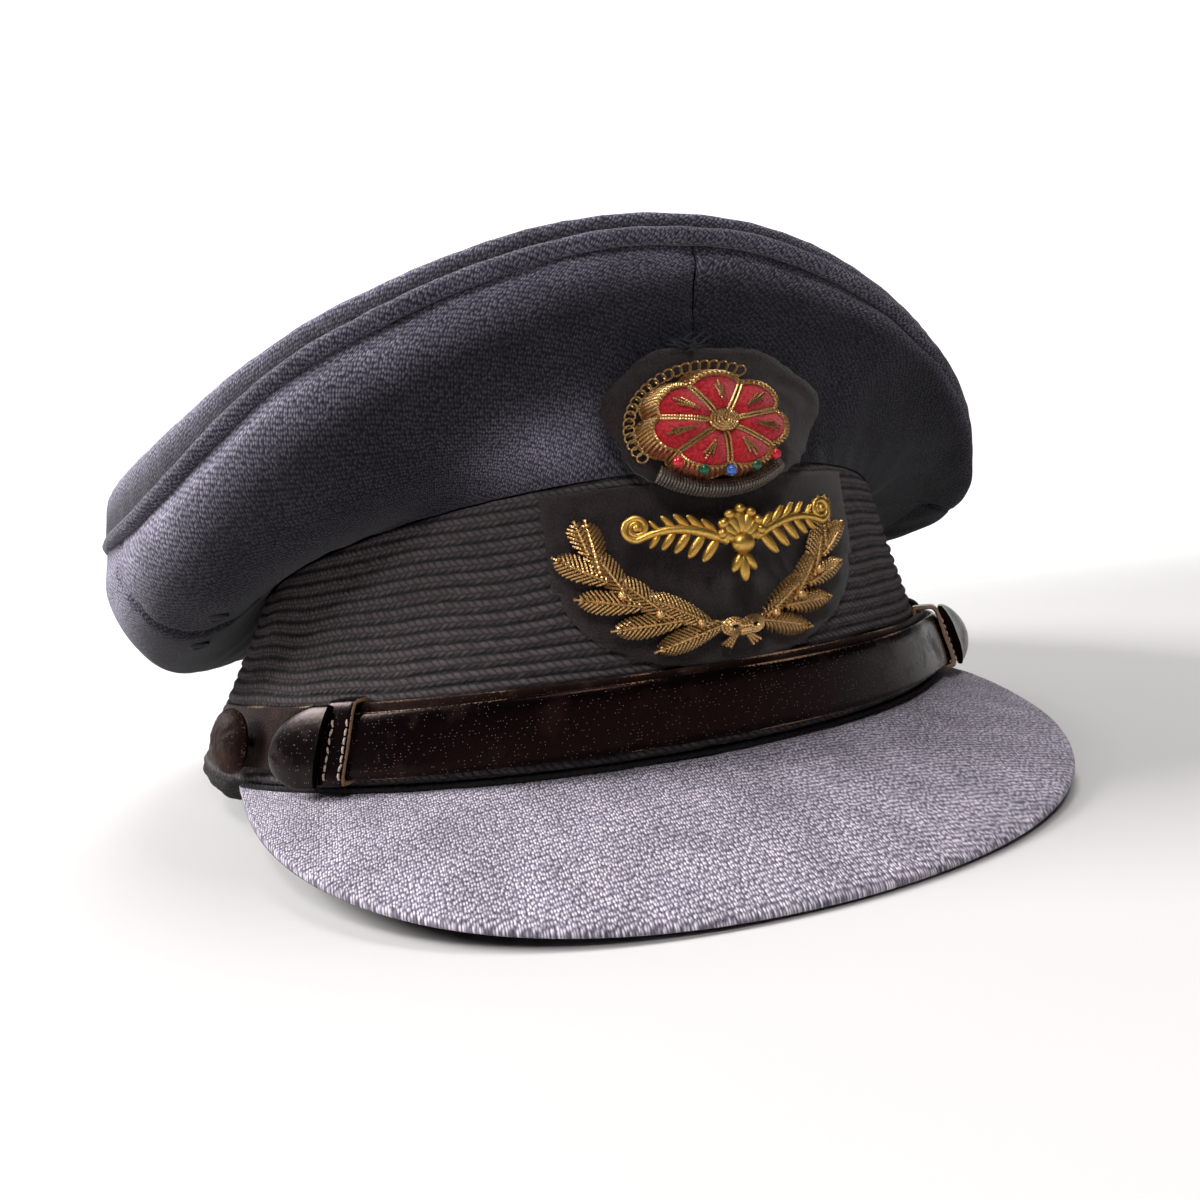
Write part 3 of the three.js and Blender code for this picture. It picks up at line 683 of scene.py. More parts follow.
def add(tree: Tree, kind: str, inputs: dict, **settings: object) -> bpy.types.Node:
    """Add a node with its settings, values and links.

    Args:
        tree: the tree that it goes in.
        kind: its type, without the words that all shader nodes start with.
        inputs: input name or number to a value, or to the socket that feeds it.
        settings: properties of the node; stops are a colour ramp's (place, colour) pairs.

    Returns:
        The node.
    """
    node = tree.nodes.new("ShaderNode" + kind)
    stops = settings.pop("stops", None)
    for name, value in settings.items():
        setattr(node, name, value)
    if stops:
        ramp = node.color_ramp.elements
        while len(ramp) < len(stops):
            ramp.new(0.5)
        for element, (place, shade) in zip(ramp, stops):
            element.position, element.color = place, colour(shade)
    for name, value in inputs.items():
        if isinstance(value, Socket):
            tree.links.new(value, node.inputs[name])
        else:
            node.inputs[name].default_value = value
    return node


def calc(tree: Tree, operation: str, *values: object) -> Socket:
    """Add a Math node that works on numbers or sockets, and give its result."""
    return add(tree, "Math", dict(enumerate(values)), operation=operation).outputs["Value"]


def noise(
    tree: Tree,
    place: Socket,
    scale: float,
    detail: float,
    roughness: float = 0.5,
    distortion: float = 0.0,
) -> Socket:
    """Add a flat noise of about 0 to 1, with a scale, finer layers, their strength and a drag."""
    return add(tree, "TexNoise", {
        "Vector": place, "Scale": scale, "Detail": detail,
        "Roughness": roughness, "Distortion": distortion,
    }, noise_dimensions="2D").outputs["Fac"]


def cells(tree: Tree, place: Socket, scale: float, spread: float) -> bpy.types.Node:
    """Add a flat pattern of cells round points that are spread at random."""
    inputs = {"Vector": place, "Scale": scale, "Randomness": spread}
    return add(tree, "TexVoronoi", inputs, voronoi_dimensions="2D")


def span(
    tree: Tree,
    value: Socket,
    low_high: tuple[float, float] = (0.0, 1.0),
    result: tuple[float, float] = (0.0, 1.0),
    smooth: bool = False,
) -> Socket:
    """Carry a value from low_high to the range of result, held at its ends and smooth if asked."""
    return add(tree, "MapRange", {
        "Value": value, "From Min": low_high[0], "From Max": low_high[1],
        "To Min": result[0], "To Max": result[1],
    }, interpolation_type="SMOOTHSTEP" if smooth else "LINEAR").outputs["Result"]


def coloured(tree: Tree, level: Socket, *stops: tuple[float, str]) -> Socket:
    """Colour a level by (place, hex colour) stops."""
    return add(tree, "ValToRGB", {"Fac": level}, stops=stops).outputs["Color"]


def mix(tree: Tree, share: Socket, first: Socket | str, second: str) -> Socket:
    """Mix two colours by a share; 6 and 7 are the Mix node's colour inputs, 2 its colour output."""
    first = colour(first) if isinstance(first, str) else first
    inputs = {"Factor": share, 6: first, 7: colour(second)}
    return add(tree, "Mix", inputs, data_type="RGBA").outputs[2]


def read_wear_and_shade(tree: Tree) -> Socket:
    """Read the piece's own value of wear and painted shade."""
    return add(tree, "Attribute", {}, attribute_name="wear_and_shade").outputs["Fac"]


@dataclass(frozen=True)
class Finish:
    """A surface finish: a principled shader's own values, and the pattern that a child adds."""

    name: str = "plain"
    roughness: float = 0.8
    metallic: float = 0.0
    sheen: float = 0.0
    coat: float = 0.0
    coat_roughness: float = 0.1
    specular: float = 0.5

    def make(self) -> Material:
        """Build the material."""
        material = bpy.data.materials.new(self.name)
        material.use_nodes = True
        tree = material.node_tree
        shader = tree.nodes["Principled BSDF"]
        shader.inputs["Roughness"].default_value = self.roughness
        shader.inputs["Metallic"].default_value = self.metallic
        shader.inputs["Sheen Weight"].default_value = self.sheen
        shader.inputs["Sheen Roughness"].default_value = 0.5
        shader.inputs["Coat Weight"].default_value = self.coat
        shader.inputs["Coat Roughness"].default_value = self.coat_roughness
        if not self.metallic:
            shader.inputs["Specular IOR Level"].default_value = self.specular
        self.pattern(tree, shader)
        return material

    def pattern(self, tree: Tree, shader: bpy.types.Node) -> None:
        """Link the finish's pattern to the shader."""
        raise NotImplementedError

    @staticmethod
    def bump(tree: Tree, shader: bpy.types.Node, height: Socket, depth_mm: float) -> None:
        """Raise the surface by a height of 0 to 1 times a depth in millimetres."""
        relief = add(tree, "Bump", {"Height": height, "Distance": depth_mm * MM, "Strength": 1.0})
        tree.links.new(relief.outputs["Normal"], shader.inputs["Normal"])

    @staticmethod
    def run(tree: Tree, across_mm: float, along_mm: float) -> Socket:
        """Read the piece's own UV map, in units of a pattern's size in millimetres."""
        place = add(tree, "UVMap", {}, uv_map="run")
        scale = (1.0 / (across_mm * MM), 1.0 / (along_mm * MM), 1.0)
        mapping = add(tree, "Mapping", {"Vector": place.outputs["UV"], "Scale": scale})
        return mapping.outputs["Vector"]


@dataclass(frozen=True)
class Worsted(Finish):
    """Heather worsted: blue-grey wool yarns with pale and navy fibres in a close twill.

    The eye sees a dense grain of small pale and dark specks in slanting rows, and a soft bloom of
    fibre ends where the cloth turns away. The wear value paints light and shade: at 0 the cloth is
    darkened nearly black as painted shade, and at 1 it keeps its full colour as painted light.
    The yarns are 0.3 mm on the real cloth; they are drawn 0.4 mm apart and 0.8 mm long, so that
    they still show at the render's size.
    """

    name: str = "heather_worsted_twill"
    roughness: float = 0.95
    sheen: float = 0.08
    specular: float = 0.12
    yarn_mm: float = 0.4
    row_mm: float = 0.8
    turn_degrees: float = 36.0
    gap_colour: str = "#3b3845"
    yarn_colour: str = "#8f8896"
    pale_colour: str = "#e2d6de"
    bump_mm: float = 0.06
    # darkest share of the colour, where the painted shade is deepest
    painted_shade_level: float = 0.13

    def pattern(self, tree: Tree, shader: bpy.types.Node) -> None:
        """Colour and raise cells of yarn, mixed at random from three tones of fibre."""
        place = add(tree, "UVMap", {}, uv_map="run").outputs["UV"]
        turn = (0.0, 0.0, math.radians(self.turn_degrees))
        turned = add(tree, "Mapping", {"Vector": place, "Rotation": turn}).outputs["Vector"]
        scale = (1.0 / (self.yarn_mm * MM), 1.0 / (self.row_mm * MM), 1.0)
        rows = add(tree, "Mapping", {"Vector": turned, "Scale": scale}).outputs["Vector"]
        yarn = cells(tree, rows, 1.0, 0.55)
        dome = span(tree, yarn.outputs["Distance"], (0.08, 0.62), (1.0, 0.0), smooth=True)
        chance = add(tree, "SeparateColor", {"Color": yarn.outputs["Color"]}).outputs["Red"]
        knot = calc(tree, "MULTIPLY", dome, span(tree, chance, result=(0.5, 1.0)))
        blend = calc(tree, "ADD", knot, noise(tree, rows, 1.7, 3.0, 0.7))
        stops = (0.05, self.gap_colour), (0.5, self.yarn_colour), (1.0, self.pale_colour)
        wool = coloured(tree, span(tree, blend, (0.3, 1.5)), *stops)
        wash = span(tree, noise(tree, place, 110.0, 3.0), (0.3, 0.7), (0.84, 1.14))
        # painted light and shade: the wear value scales the colour from the darkest share, painted
        # shade, up to the full lit colour
        level = calc(tree, "MULTIPLY", wash, span(tree, read_wear_and_shade(tree), result=(self.painted_shade_level, 1.0)))
        tinted = add(tree, "VectorMath", {0: wool, "Scale": level}, operation="SCALE")
        tree.links.new(tinted.outputs["Vector"], shader.inputs["Base Color"])
        self.bump(tree, shader, blend, self.bump_mm)


@dataclass(frozen=True)
class Braid(Finish):
    """Mohair braid: black hair yarn in ribs of leaning stitches, rusty grey where it has faded.

    The eye sees matt near-black gaps under rows of small pointed stitches with lighter fibres
    along them. The wear value darkens the hair further, as painted shade in the grooves between
    the ribs and along the foot. The UV map runs one stitch length for each stitch and two rows
    for each rib.
    """

    name: str = "black_mohair_braid"
    roughness: float = 0.95
    sheen: float = 0.1
    specular: float = 0.15
    dark: str = "#0f090a"
    faded_and_lit: str = "#685c5f"
    stitch_mm: float = 1.5
    row_mm: float = 1.15
    slant: float = 0.9
    relief_mm: float = 0.7

    def pattern(self, tree: Tree, shader: bpy.types.Node) -> None:
        """Work each stitch as (1 - 4u^2)(1 - 4v^2), leaning by turns, and streak it with fibre."""
        run = self.run(tree, self.stitch_mm, self.row_mm)
        loose = add(tree, "TexNoise", {"Vector": run, "Scale": 0.7, "Detail": 2.0})
        pull = add(tree, "VectorMath", {
            0: loose.outputs["Color"], 1: (0.5, 0.5, 0.5), 2: run,
        }, operation="MULTIPLY_ADD")
        place = add(tree, "SeparateXYZ", {"Vector": pull.outputs["Vector"]})
        up = place.outputs["Y"]
        v = calc(tree, "SUBTRACT", calc(tree, "FRACT", up), 0.5)
        half_up = calc(tree, "FRACT", calc(tree, "MULTIPLY", up, 0.5))
        odd = calc(tree, "GREATER_THAN", half_up, 0.5)
        lean = calc(tree, "MULTIPLY_ADD", odd, 2.0 * self.slant, -self.slant)
        leant = calc(tree, "MULTIPLY_ADD", lean, v, place.outputs["X"])
        along = calc(tree, "MULTIPLY_ADD", odd, 0.5, leant)
        u = calc(tree, "SUBTRACT", calc(tree, "FRACT", along), 0.5)
        across = calc(tree, "MULTIPLY_ADD", calc(tree, "MULTIPLY", u, u), -4.0, 1.0)
        rise = calc(tree, "MULTIPLY_ADD", calc(tree, "MULTIPLY", v, v), -4.0, 1.0)
        cell = add(tree, "CombineXYZ", {
            "X": calc(tree, "FLOOR", along), "Y": calc(tree, "FLOOR", up),
        })
        chance = add(tree, "TexWhiteNoise", {"Vector": cell.outputs["Vector"]}, noise_dimensions="2D")
        size = calc(tree, "MULTIPLY_ADD", chance.outputs["Value"], 0.6, 0.4)
        stitch = calc(tree, "MULTIPLY", calc(tree, "MULTIPLY", across, rise), size)
        height = calc(tree, "MULTIPLY_ADD", noise(tree, run, 3.6, 4.0, 0.8, 1.6), 0.8, stitch)
        # painted shade: the wear value darkens the grooves and the foot
        tone = calc(tree, "MULTIPLY", height, span(tree, read_wear_and_shade(tree), result=(0.1, 1.0)))
        hair = coloured(tree, tone, (0.2, self.dark), (0.95, self.faded_and_lit))
        tree.links.new(hair, shader.inputs["Base Color"])
        self.bump(tree, shader, height, self.relief_mm)


@dataclass(frozen=True)
class Felt(Finish):
    """Wool felt: brown-black fibres pressed together, with pale lint and short fuzz on it."""

    name: str = "brown_black_felt"
    roughness: float = 1.0
    sheen: float = 0.25
    specular: float = 0.1
    ground: str = "#130c0d"
    lint: str = "#3c2f30"
    fibre_mm: float = 0.32
    relief_mm: float = 0.22

    def pattern(self, tree: Tree, shader: bpy.types.Node) -> None:
        """Speckle the ground with lint where a fine noise peaks."""
        run = self.run(tree, self.fibre_mm, self.fibre_mm)
        fuzz = noise(tree, run, 1.0, 5.0, 0.8)
        level = calc(tree, "MULTIPLY_ADD", noise(tree, run, 0.12, 3.0), 0.3, fuzz)
        felt = coloured(tree, level, (0.5, self.ground), (0.88, self.lint))
        tree.links.new(felt, shader.inputs["Base Color"])
        self.bump(tree, shader, fuzz, self.relief_mm)


@dataclass(frozen=True)
class Leather(Finish):
    """Strap leather: black varnish over brown hide, scuffed, dusty, and bare on its edges.

    The eye sees a dark gloss broken by smears and pale dust, with the hide showing as light brown
    lines wherever the varnish has rubbed through.
    """

    name: str = "patent_leather"
    roughness: float = 0.24
    coat: float = 0.0
    specular: float = 0.16
    varnish: str = "#070304"
    smear: str = "#1a0e0d"
    hide: str = "#9c7b64"
    dust: str = "#6f625c"
    tint: str = "#c08f80"
    dusty: float = 0.2
    grain_mm: float = 0.7
    grain_depth_mm: float = 0.012

    def pattern(self, tree: Tree, shader: bpy.types.Node) -> None:
        """Lay smears, worn edges and specks of dust over the varnish, each with its own gloss."""
        shader.inputs["Specular Tint"].default_value = colour(self.tint)
        run = self.run(tree, 1.0, 1.0)
        fine = noise(tree, run, 2.4, 4.0, 0.7)
        smeared = span(tree, noise(tree, run, 0.11, 6.0, 0.62), (0.5, 0.8), smooth=True)
        bare = span(tree, calc(tree, "MULTIPLY", read_wear_and_shade(tree), fine), (0.26, 0.4), smooth=True)
        specks = cells(tree, run, 1.9, 1.0)
        chance = add(tree, "SeparateColor", {"Color": specks.outputs["Color"]}).outputs["Green"]
        near = calc(tree, "LESS_THAN", specks.outputs["Distance"], 0.12)
        speck = calc(tree, "MULTIPLY", near, calc(tree, "GREATER_THAN", chance, 1.0 - self.dusty))
        skin = mix(tree, smeared, self.varnish, self.smear)
        skin = mix(tree, bare, skin, self.hide)
        skin = mix(tree, speck, skin, self.dust)
        tree.links.new(skin, shader.inputs["Base Color"])
        matt = calc(tree, "MAXIMUM", calc(tree, "MAXIMUM", smeared, bare), speck)
        gloss = span(tree, matt, result=(self.roughness, min(self.roughness + 0.3, 1.0)))
        tree.links.new(gloss, shader.inputs["Roughness"])
        grain = cells(tree, run, 1.0 / self.grain_mm, 1.0).outputs["Distance"]
        self.bump(tree, shader, calc(tree, "ADD", grain, fine), self.grain_depth_mm)


@dataclass(frozen=True)
class Velvet(Finish):
    """Silk velvet: a short crimson pile that is pale where it leans away and deep elsewhere."""

    name: str = "crimson_velvet"
    roughness: float = 0.95
    sheen: float = 0.35
    specular: float = 0.1
    deep: str = "#7c0a14"
    lit: str = "#d02a35"
    clump_mm: float = 0.5
    pile_mm: float = 0.18

    def pattern(self, tree: Tree, shader: bpy.types.Node) -> None:
        """Mottle the pile in clumps."""
        pile = noise(tree, self.run(tree, self.clump_mm, self.clump_mm), 1.0, 4.0, 0.75)
        silk = coloured(tree, pile, (0.32, self.deep), (0.66, self.lit))
        tree.links.new(silk, shader.inputs["Base Color"])
        self.bump(tree, shader, pile, self.pile_mm)


@dataclass(frozen=True)
class Metal(Finish):
    """Gilt or silvered metal, cast or drawn to wire: bright on top and dark in its hollows.

    A fine noise gives real tarnish; the wear value, 1 on what stands proud and lower on what lies
    beneath, darkens those lower parts as painted shade. Wire is a tight coil, whose turns show as
    fine bars across it; they are drawn 0.45 mm apart, where the real coil's are 0.15 mm.
    """

    name: str = "gilt_brass"
    roughness: float = 0.34
    metallic: float = 1.0
    hollow: str = "#4c3110"
    proud: str = "#e0b45c"
    turn_mm: float = 0.0
    turn_depth_mm: float = 0.05
    grain_mm: float = 0.5
    grain_depth_mm: float = 0.04

    def pattern(self, tree: Tree, shader: bpy.types.Node) -> None:
        """Darken by the wear value, as painted shade, and by a fine tarnish, and raise the coil's turns.
        """
        run = self.run(tree, 1.0, 1.0)
        tarnish = noise(tree, run, 1.0 / self.grain_mm, 4.0, 0.65)
        # painted shade: the wear value darkens what lies beneath, on top of the real tarnish
        level = span(tree, calc(tree, "ADD", tarnish, read_wear_and_shade(tree)), (0.45, 1.5))
        tree.links.new(mix(tree, level, self.hollow, self.proud), shader.inputs["Base Color"])
        gloss = span(tree, tarnish, (0.3, 0.7), (self.roughness + 0.16, self.roughness - 0.06))
        tree.links.new(gloss, shader.inputs["Roughness"])
        if self.turn_mm:
            bars = add(tree, "TexWave", {
                "Vector": run, "Scale": 1.0 / (self.turn_mm * BARS_PER_UNIT), "Distortion": 0.4,
            }, wave_type="BANDS", bands_direction="X", wave_profile="SIN")
            self.bump(tree, shader, bars.outputs["Fac"], self.turn_depth_mm)
        else:
            self.bump(tree, shader, tarnish, self.grain_depth_mm)


@dataclass(frozen=True)
class Thread(Finish):
    """Waxed thread or a glass bead: one colour, a little uneven."""

    name: str = "waxed_thread"
    roughness: float = 0.7
    ground: str = "#8d7767"
    pale: str = "#c9b9aa"
    fleck_mm: float = 0.3

    def pattern(self, tree: Tree, shader: bpy.types.Node) -> None:
        """Fleck the ground with its pale colour."""
        fleck = noise(tree, self.run(tree, self.fleck_mm, self.fleck_mm), 1.0, 2.0)
        tone = coloured(tree, fleck, (0.35, self.ground), (0.7, self.pale))
        tree.links.new(tone, shader.inputs["Base Color"])


class Wardrobe:
    """All the cap's materials, made once."""

    def __init__(self) -> None:
        """Make each finish's material."""
        # The crown's copy of the worsted is darker in every tone than the peak's copy and goes nearer
        # black: painted shade, since crown and peak are one cloth.
        self.wool = Worsted(
            gap_colour="#2a2936",
            yarn_colour="#7a7688",
            pale_colour="#bcb5c3",
            painted_shade_level=0.05,
        ).make()
        self.peak_wool = Worsted(name="heather_worsted_peak", turn_degrees=4.0).make()
        self.braid = Braid().make()
        self.felt = Felt().make()
        self.patent = Leather().make()
        self.dull = Leather(
            name="dull_hide",
            roughness=0.5,
            specular=0.08,
            varnish="#1c1210",
            smear="#3a2a24",
            dusty=0.12,
            grain_depth_mm=0.05,
        ).make()
        self.velvet = Velvet().make()
        self.gilt = Metal().make()
        self.bullion = Metal(
            name="gold_bullion_wire",
            roughness=0.3,
            hollow="#1e1108",
            proud="#dfb478",
            turn_mm=0.45,
        ).make()
        self.silver = Metal(
            name="silver_purl_wire",
            roughness=0.42,
            hollow="#191412",
            proud="#8f857c",
            turn_mm=0.45,
        ).make()
        self.thread = Thread().make()
        self.black_thread = Thread(
            name="black_buttonhole_thread",
            roughness=0.8,
            ground="#0c0c11",
            pale="#24242e",
        ).make()
        glass = (
            ("red", "#b01220", "#d83040"),
            ("green", "#0d3b26", "#1f6a48"),
            ("blue", "#1c3f8c", "#5b86d8"),
        )
        self.beads = {
            name: Thread(name + "_glass", roughness=0.15, ground=ground, pale=pale).make()
            for name, ground, pale in glass
        }


# Shapes that the pieces share


def normals(points: Array, wrap: bool = False) -> Array:
    """Give the unit normals of a grid: the cross product of its steps along both ways.

    Args:
        points: [n, m, 3] points.
        wrap: whether the first way closes on itself.

    Returns:
        [n, m, 3] normals.
    """
    if wrap:
        first = np.roll(points, -1, axis=0) - np.roll(points, 1, axis=0)
    else:
        first = np.gradient(points, axis=0)
    return unit(np.cross(first, np.gradient(points, axis=1)))


def rounded_box(count: int, square: float) -> tuple[Array, Array]:
    """Give a squared oval: sign(c)|c|^square and sign(s)|s|^square round a circle."""
    turn = around(count)
    c, s = np.cos(turn), np.sin(turn)
    return np.sign(c) * np.abs(c) ** square, np.sign(s) * np.abs(s) ** square


def front(x: Array, height: Array, off: Array | float) -> tuple[Array, Array]:
    """Find points off the cap's front, and the outward directions there.

    Args:
        x: width in millimetres.
        height: height above the band's foot.
        off: distance out of the face.

    Returns:
        Points and unit directions in metres in the frame of the CAD model.
    """
    x, height, off = np.broadcast_arrays(x, height, np.asarray(off, dtype=float))
    near = SHAPE.on_front(x, height, 0.0)
    out = SHAPE.band_out(np.degrees(np.arcsin(x / SHAPE.band_top_half_width)))
    place = SHAPE.world(near + out * off[..., None])
    return place, unit(SHAPE.world(near + out) - SHAPE.world(near))


def front_blobs(
    skin: Skin,
    x: Array | float,
    height: Array | float,
    off: float,
    sizes: tuple[Array | float, ...],
    turn: Array | float = 0.0,
    rings: int = 9,
    sides: int = 16,
    wear_and_shade: float = 0.8,
) -> None:
    """Add ellipsoids that lie on the cap's front.

    Args:
        skin: the mesh they go in.
        x: widths in millimetres, like all measures here.
        height: heights above the band's foot.
        off: distance of the middles out of the face.
        sizes: half length, half width and half thickness.
        turn: turn of the long axis from level, in degrees.
        rings: number of rings between the poles.
        sides: number of points of a ring.
        wear_and_shade: value of wear and painted shade.
    """
    x, height, turn, *sizes = np.broadcast_arrays(np.atleast_1d(x), height, turn, *sizes)
    centre, out = front(x, height, off)
    level = unit(np.cross(UP, out))
    up = np.cross(out, level)
    c, s = np.cos(np.radians(turn))[:, None], np.sin(np.radians(turn))[:, None]
    axes = np.stack([level * c + up * s, up * c - level * s, out], axis=1)
    half = np.stack(sizes, axis=-1) * MM
    skin.blobs(centre, axes * half[:, :, None], rings=rings, sides=sides, wear_and_shade=wear_and_shade)


def rings_to(outline: Array, middle: tuple[float, float], reaches: Array) -> Array:
    """Draw an outline in towards a middle: middle + (outline - middle) * reach, [n, m, 2]."""
    core = np.array(middle)
    return core + (outline - core)[:, None] * reaches[None, :, None]


def front_plate(
    skin: Skin,
    outline: Array,
    middle: tuple[float, float],
    near: float,
    rise: Array,
    reaches: Array,
) -> None:
    """Add a closed plate on the cap's front, made of rings from its middle to its outline.

    Args:
        skin: the mesh it goes in.
        outline: [n, 2] widths and heights in millimetres, which every ring follows.
        middle: the point that the rings shrink to.
        near: distance of its back from the cap's face.
        rise: [n, m] thickness over the back at each ring.
        reaches: [m] share of the outline's reach of each ring, from near 0 up to 1.
    """
    spots = rings_to(outline, middle, reaches)
    spots = np.concatenate([spots, spots[:, ::-1]], axis=1)
    off = np.concatenate([np.full(rise.shape, near), near + rise[:, ::-1]], axis=1)
    points, _ = front(spots[..., 0], spots[..., 1], off)
    uv = np.concatenate([spots, spots[:1]], axis=0) * MM
    skin.shell(points, loop=(True, False), uv=uv)


# The crown


@dataclass(frozen=True)
class Fold:
    """A soft crease of the top panel: where it lies, how long, how far in and how deep."""

    angle: float
    half_angle: float
    inward: float
    slant: float
    depth: float
    width: float


@dataclass(frozen=True)
class Dent:
    """A soft fold of the quarters beside the badge: its angle, width, share up, and rise."""

    angle: float
    width: float
    share: float
    rise: float


@dataclass
class Crown:
    """The wool crown: a top panel, its piping, and four quarters with turned-in seams."""

    wool: Material
    thread: Material
    side_seam: float = 68.0
    cloth: float = 1.3
    seam_depth: float = 1.0
    seam_reach: float = 1.3
    edge_tuck: float = 1.3
    edge_lap: float = 0.9
    sag_depth: float = 5.0
    piping_set_in: float = 2.0
    ripple_size: float = 44.0
    ripple_depth: float = 0.35
    quarter_height: float = 45.0
    eyelet_radius: float = 1.5
    eyelet_thread: float = 0.4
    eyelets: tuple[tuple[float, float], ...] = (
        (-63.0, 0.43), (-72.0, 0.42), (63.0, 0.43), (72.0, 0.42),
    )
    dents: tuple[Dent, ...] = (
        Dent(-17.5, 2.6, 0.42, -1.1),
        Dent(-23.0, 3.4, 0.45, 0.8),
        Dent(19.0, 2.8, 0.35, -0.9),
        Dent(25.0, 3.6, 0.4, 0.6),
    )
    folds: tuple[Fold, ...] = (
        Fold(-32.0, 20.0, 9.5, 0.10, 1.0, 2.0),
        Fold(-38.0, 26.0, 15.0, 0.12, 0.7, 2.6),
        Fold(-62.0, 14.0, 8.0, -0.12, 0.5, 2.4),
        Fold(24.0, 16.0, 10.0, -0.15, 0.6, 2.2),
        Fold(120.0, 30.0, 14.0, 0.08, 0.5, 3.0),
        Fold(-140.0, 24.0, 12.0, -0.08, 0.5, 3.0),
    )

    def build(self) -> list[Piece]:
        """Make the top panel, the piping, the quarters and the eyelets."""
        pieces = [self.top(), self.piping()]
        seam = self.side_seam
        pieces.append(self.quarter("quarter_front_right", -seam, 0.0, 170))
        pieces.append(self.quarter("quarter_front_left", 0.0, seam, 170))
        pieces.append(self.quarter("quarter_rear_right", -180.0, -seam, 200))
        pieces.append(self.quarter("quarter_rear_left", seam, 180.0, 200))
        pieces.append(self.vents())
        return pieces

    def top_relief(self, angle: Array, inward: Array, points: Array) -> Array:
        """Sum ripples, folds and puckers along the piping, in millimetres out of the panel."""
        radius = np.linalg.norm(SHAPE.rim(angle)[..., :2], axis=-1)
        distance = inward * radius
        x, y = points[..., 0], points[..., 1]
        relief = self.ripple_depth * ripple(x, y, self.ripple_size, 1) * smooth_step(0.0, 12.0, distance)
        relief = relief + 0.05 * ripple(x, y, 13.0, 2)
        for fold in self.folds:
            line = fold.inward + fold.slant * (angle - fold.angle)
            along = bell(angle, fold.angle, fold.half_angle)
            relief = relief - fold.depth * along * bell(distance, line, fold.width)
            ridge = bell(distance, line + 2.2 * fold.width, fold.width)
            relief = relief + 0.5 * fold.depth * along * ridge
        arc = np.radians(angle) * radius
        pucker = 0.16 * np.sin(arc * 2.0 * math.pi / 6.5 + 2.0 * ripple(arc, distance, 30.0, 3))
        return (relief + pucker * np.exp(-distance / 2.5)) * smooth_step(0.98, 0.86, inward)

    def top(self) -> Piece:
        """Build the top panel as rings from the piping to its middle, with a cloth's thickness."""
        steps, rings = 320, 64
        angle = np.linspace(-180.0, 180.0, steps, endpoint=False)[:, None]
        inward = (np.linspace(0.0, 1.0, rings) ** 1.8 * 0.985)[None]
        face = SHAPE.on_top(angle, inward)
        relief = self.top_relief(*np.broadcast_arrays(angle, inward), face)
        face = face + normals(face, wrap=True) * relief[..., None]
        distance = inward * SHAPE.rim_half_width
        near_edge = np.exp(-((distance / 1.6) ** 2))[..., None]
        face = face - SHAPE.rim_out(angle) * self.edge_tuck * near_edge
        face = face - UP * self.edge_lap * near_edge
        below = np.linspace(0.985, 0.02, 14)[None]
        under = SHAPE.on_top(angle, below) - UP * (self.cloth + 0.6)
        points = SHAPE.world(np.concatenate([under, face], axis=1))
        run = np.linalg.norm(np.diff(face, axis=1), axis=-1)
        run = np.concatenate([np.zeros((steps, 1)), np.cumsum(run, axis=1)], axis=1)
        far = (run[:, -1:] - run) * MM
        under_far = run[:, -1:] * (1.0 - below) * MM
        reach = np.concatenate([under_far, far], axis=1)
        reach = np.concatenate([reach, reach[:1]], axis=0)
        turn = np.radians(np.append(angle, 180.0))[:, None]
        uv = np.stack([reach * np.sin(turn), -reach * np.cos(turn)], axis=-1)
        skin = Skin("crown_top_cloth")
        # Painted light and shade on the top panel: lighter on the roll by the piping, darkest in the
        # crease right at the piping, and at 0.3 in the middle and underneath.
        painted_light_level = 0.3 + 0.6 * np.exp(-((distance / 18.0) ** 2)) - 0.8 * np.exp(-((distance / 1.6) ** 2))
        painted_light_level = np.concatenate([np.full(below.shape, 0.3), painted_light_level], axis=1)
        skin.shell(points, loop=(True, False), uv=uv, wear_and_shade=np.broadcast_to(painted_light_level, points.shape[:2]))
        piece = skin.finish([self.wool], Slot.WOOL, ("crown_top",))
        self.declare(piece, face * MM, "crown_piping_cloth", True)
        return piece

    @staticmethod
    def declare(piece: Piece, face: Array, rests_on: str, wrap: bool) -> None:
        """Log the flat size of a panel's cut and the area of its outer face."""
        full = np.concatenate([face, face[:1]], axis=0) if wrap else face
        sides = np.diff(full, axis=0)[:, :-1], np.diff(full, axis=1)[:-1]
        area = float(np.linalg.norm(np.cross(*sides), axis=-1).sum())
        if wrap:
            spans = np.ptp(full.reshape(-1, 3), axis=0)
            flat = (float(spans[0]) * 1.06, float(spans[1]) * 1.06)
        else:
            length = float(np.linalg.norm(np.diff(full, axis=0), axis=-1).sum(axis=0).max())
            width = float(np.linalg.norm(np.diff(full, axis=1), axis=-1).sum(axis=1).max())
            flat = (width, length)
        LOG.info("%s: cut %.0f x %.0f mm, %.0f cm2", piece.name, flat[0] / MM, flat[1] / MM, area * 1e4)

    def piping(self) -> Piece:
        """Build the piping: a puckered cord of cloth, set in from the rim, most of all at the sides."""
        angle = np.linspace(-180.0, 180.0, 900, endpoint=False)
        arc = np.radians(angle) * SHAPE.rim_half_width
        swell = 1.0 + 0.05 * ripple(arc, 0.0, 7.0, 4)
        side = SHAPE.rim_out(angle)
        set_in = self.piping_set_in * (0.35 + 0.65 * bell(np.abs(angle), 92.0, 30.0))
        path = SHAPE.rim(angle) - side * set_in[:, None]
        path = path + UP * 0.18 * ripple(arc, 0.0, 22.0, 5)[:, None]
        skin = Skin("crown_piping_cloth")
        radius = (SHAPE.piping_radius - 0.05) * swell * MM
        # wear 0.38 holds the piping's wool at a set level of painted shade
        skin.rod(SHAPE.world(path), side, radius, sides=14, loop=True, wear_and_shade=0.38)
        return skin.finish([self.wool], Slot.WOOL, ("crown_piping",))

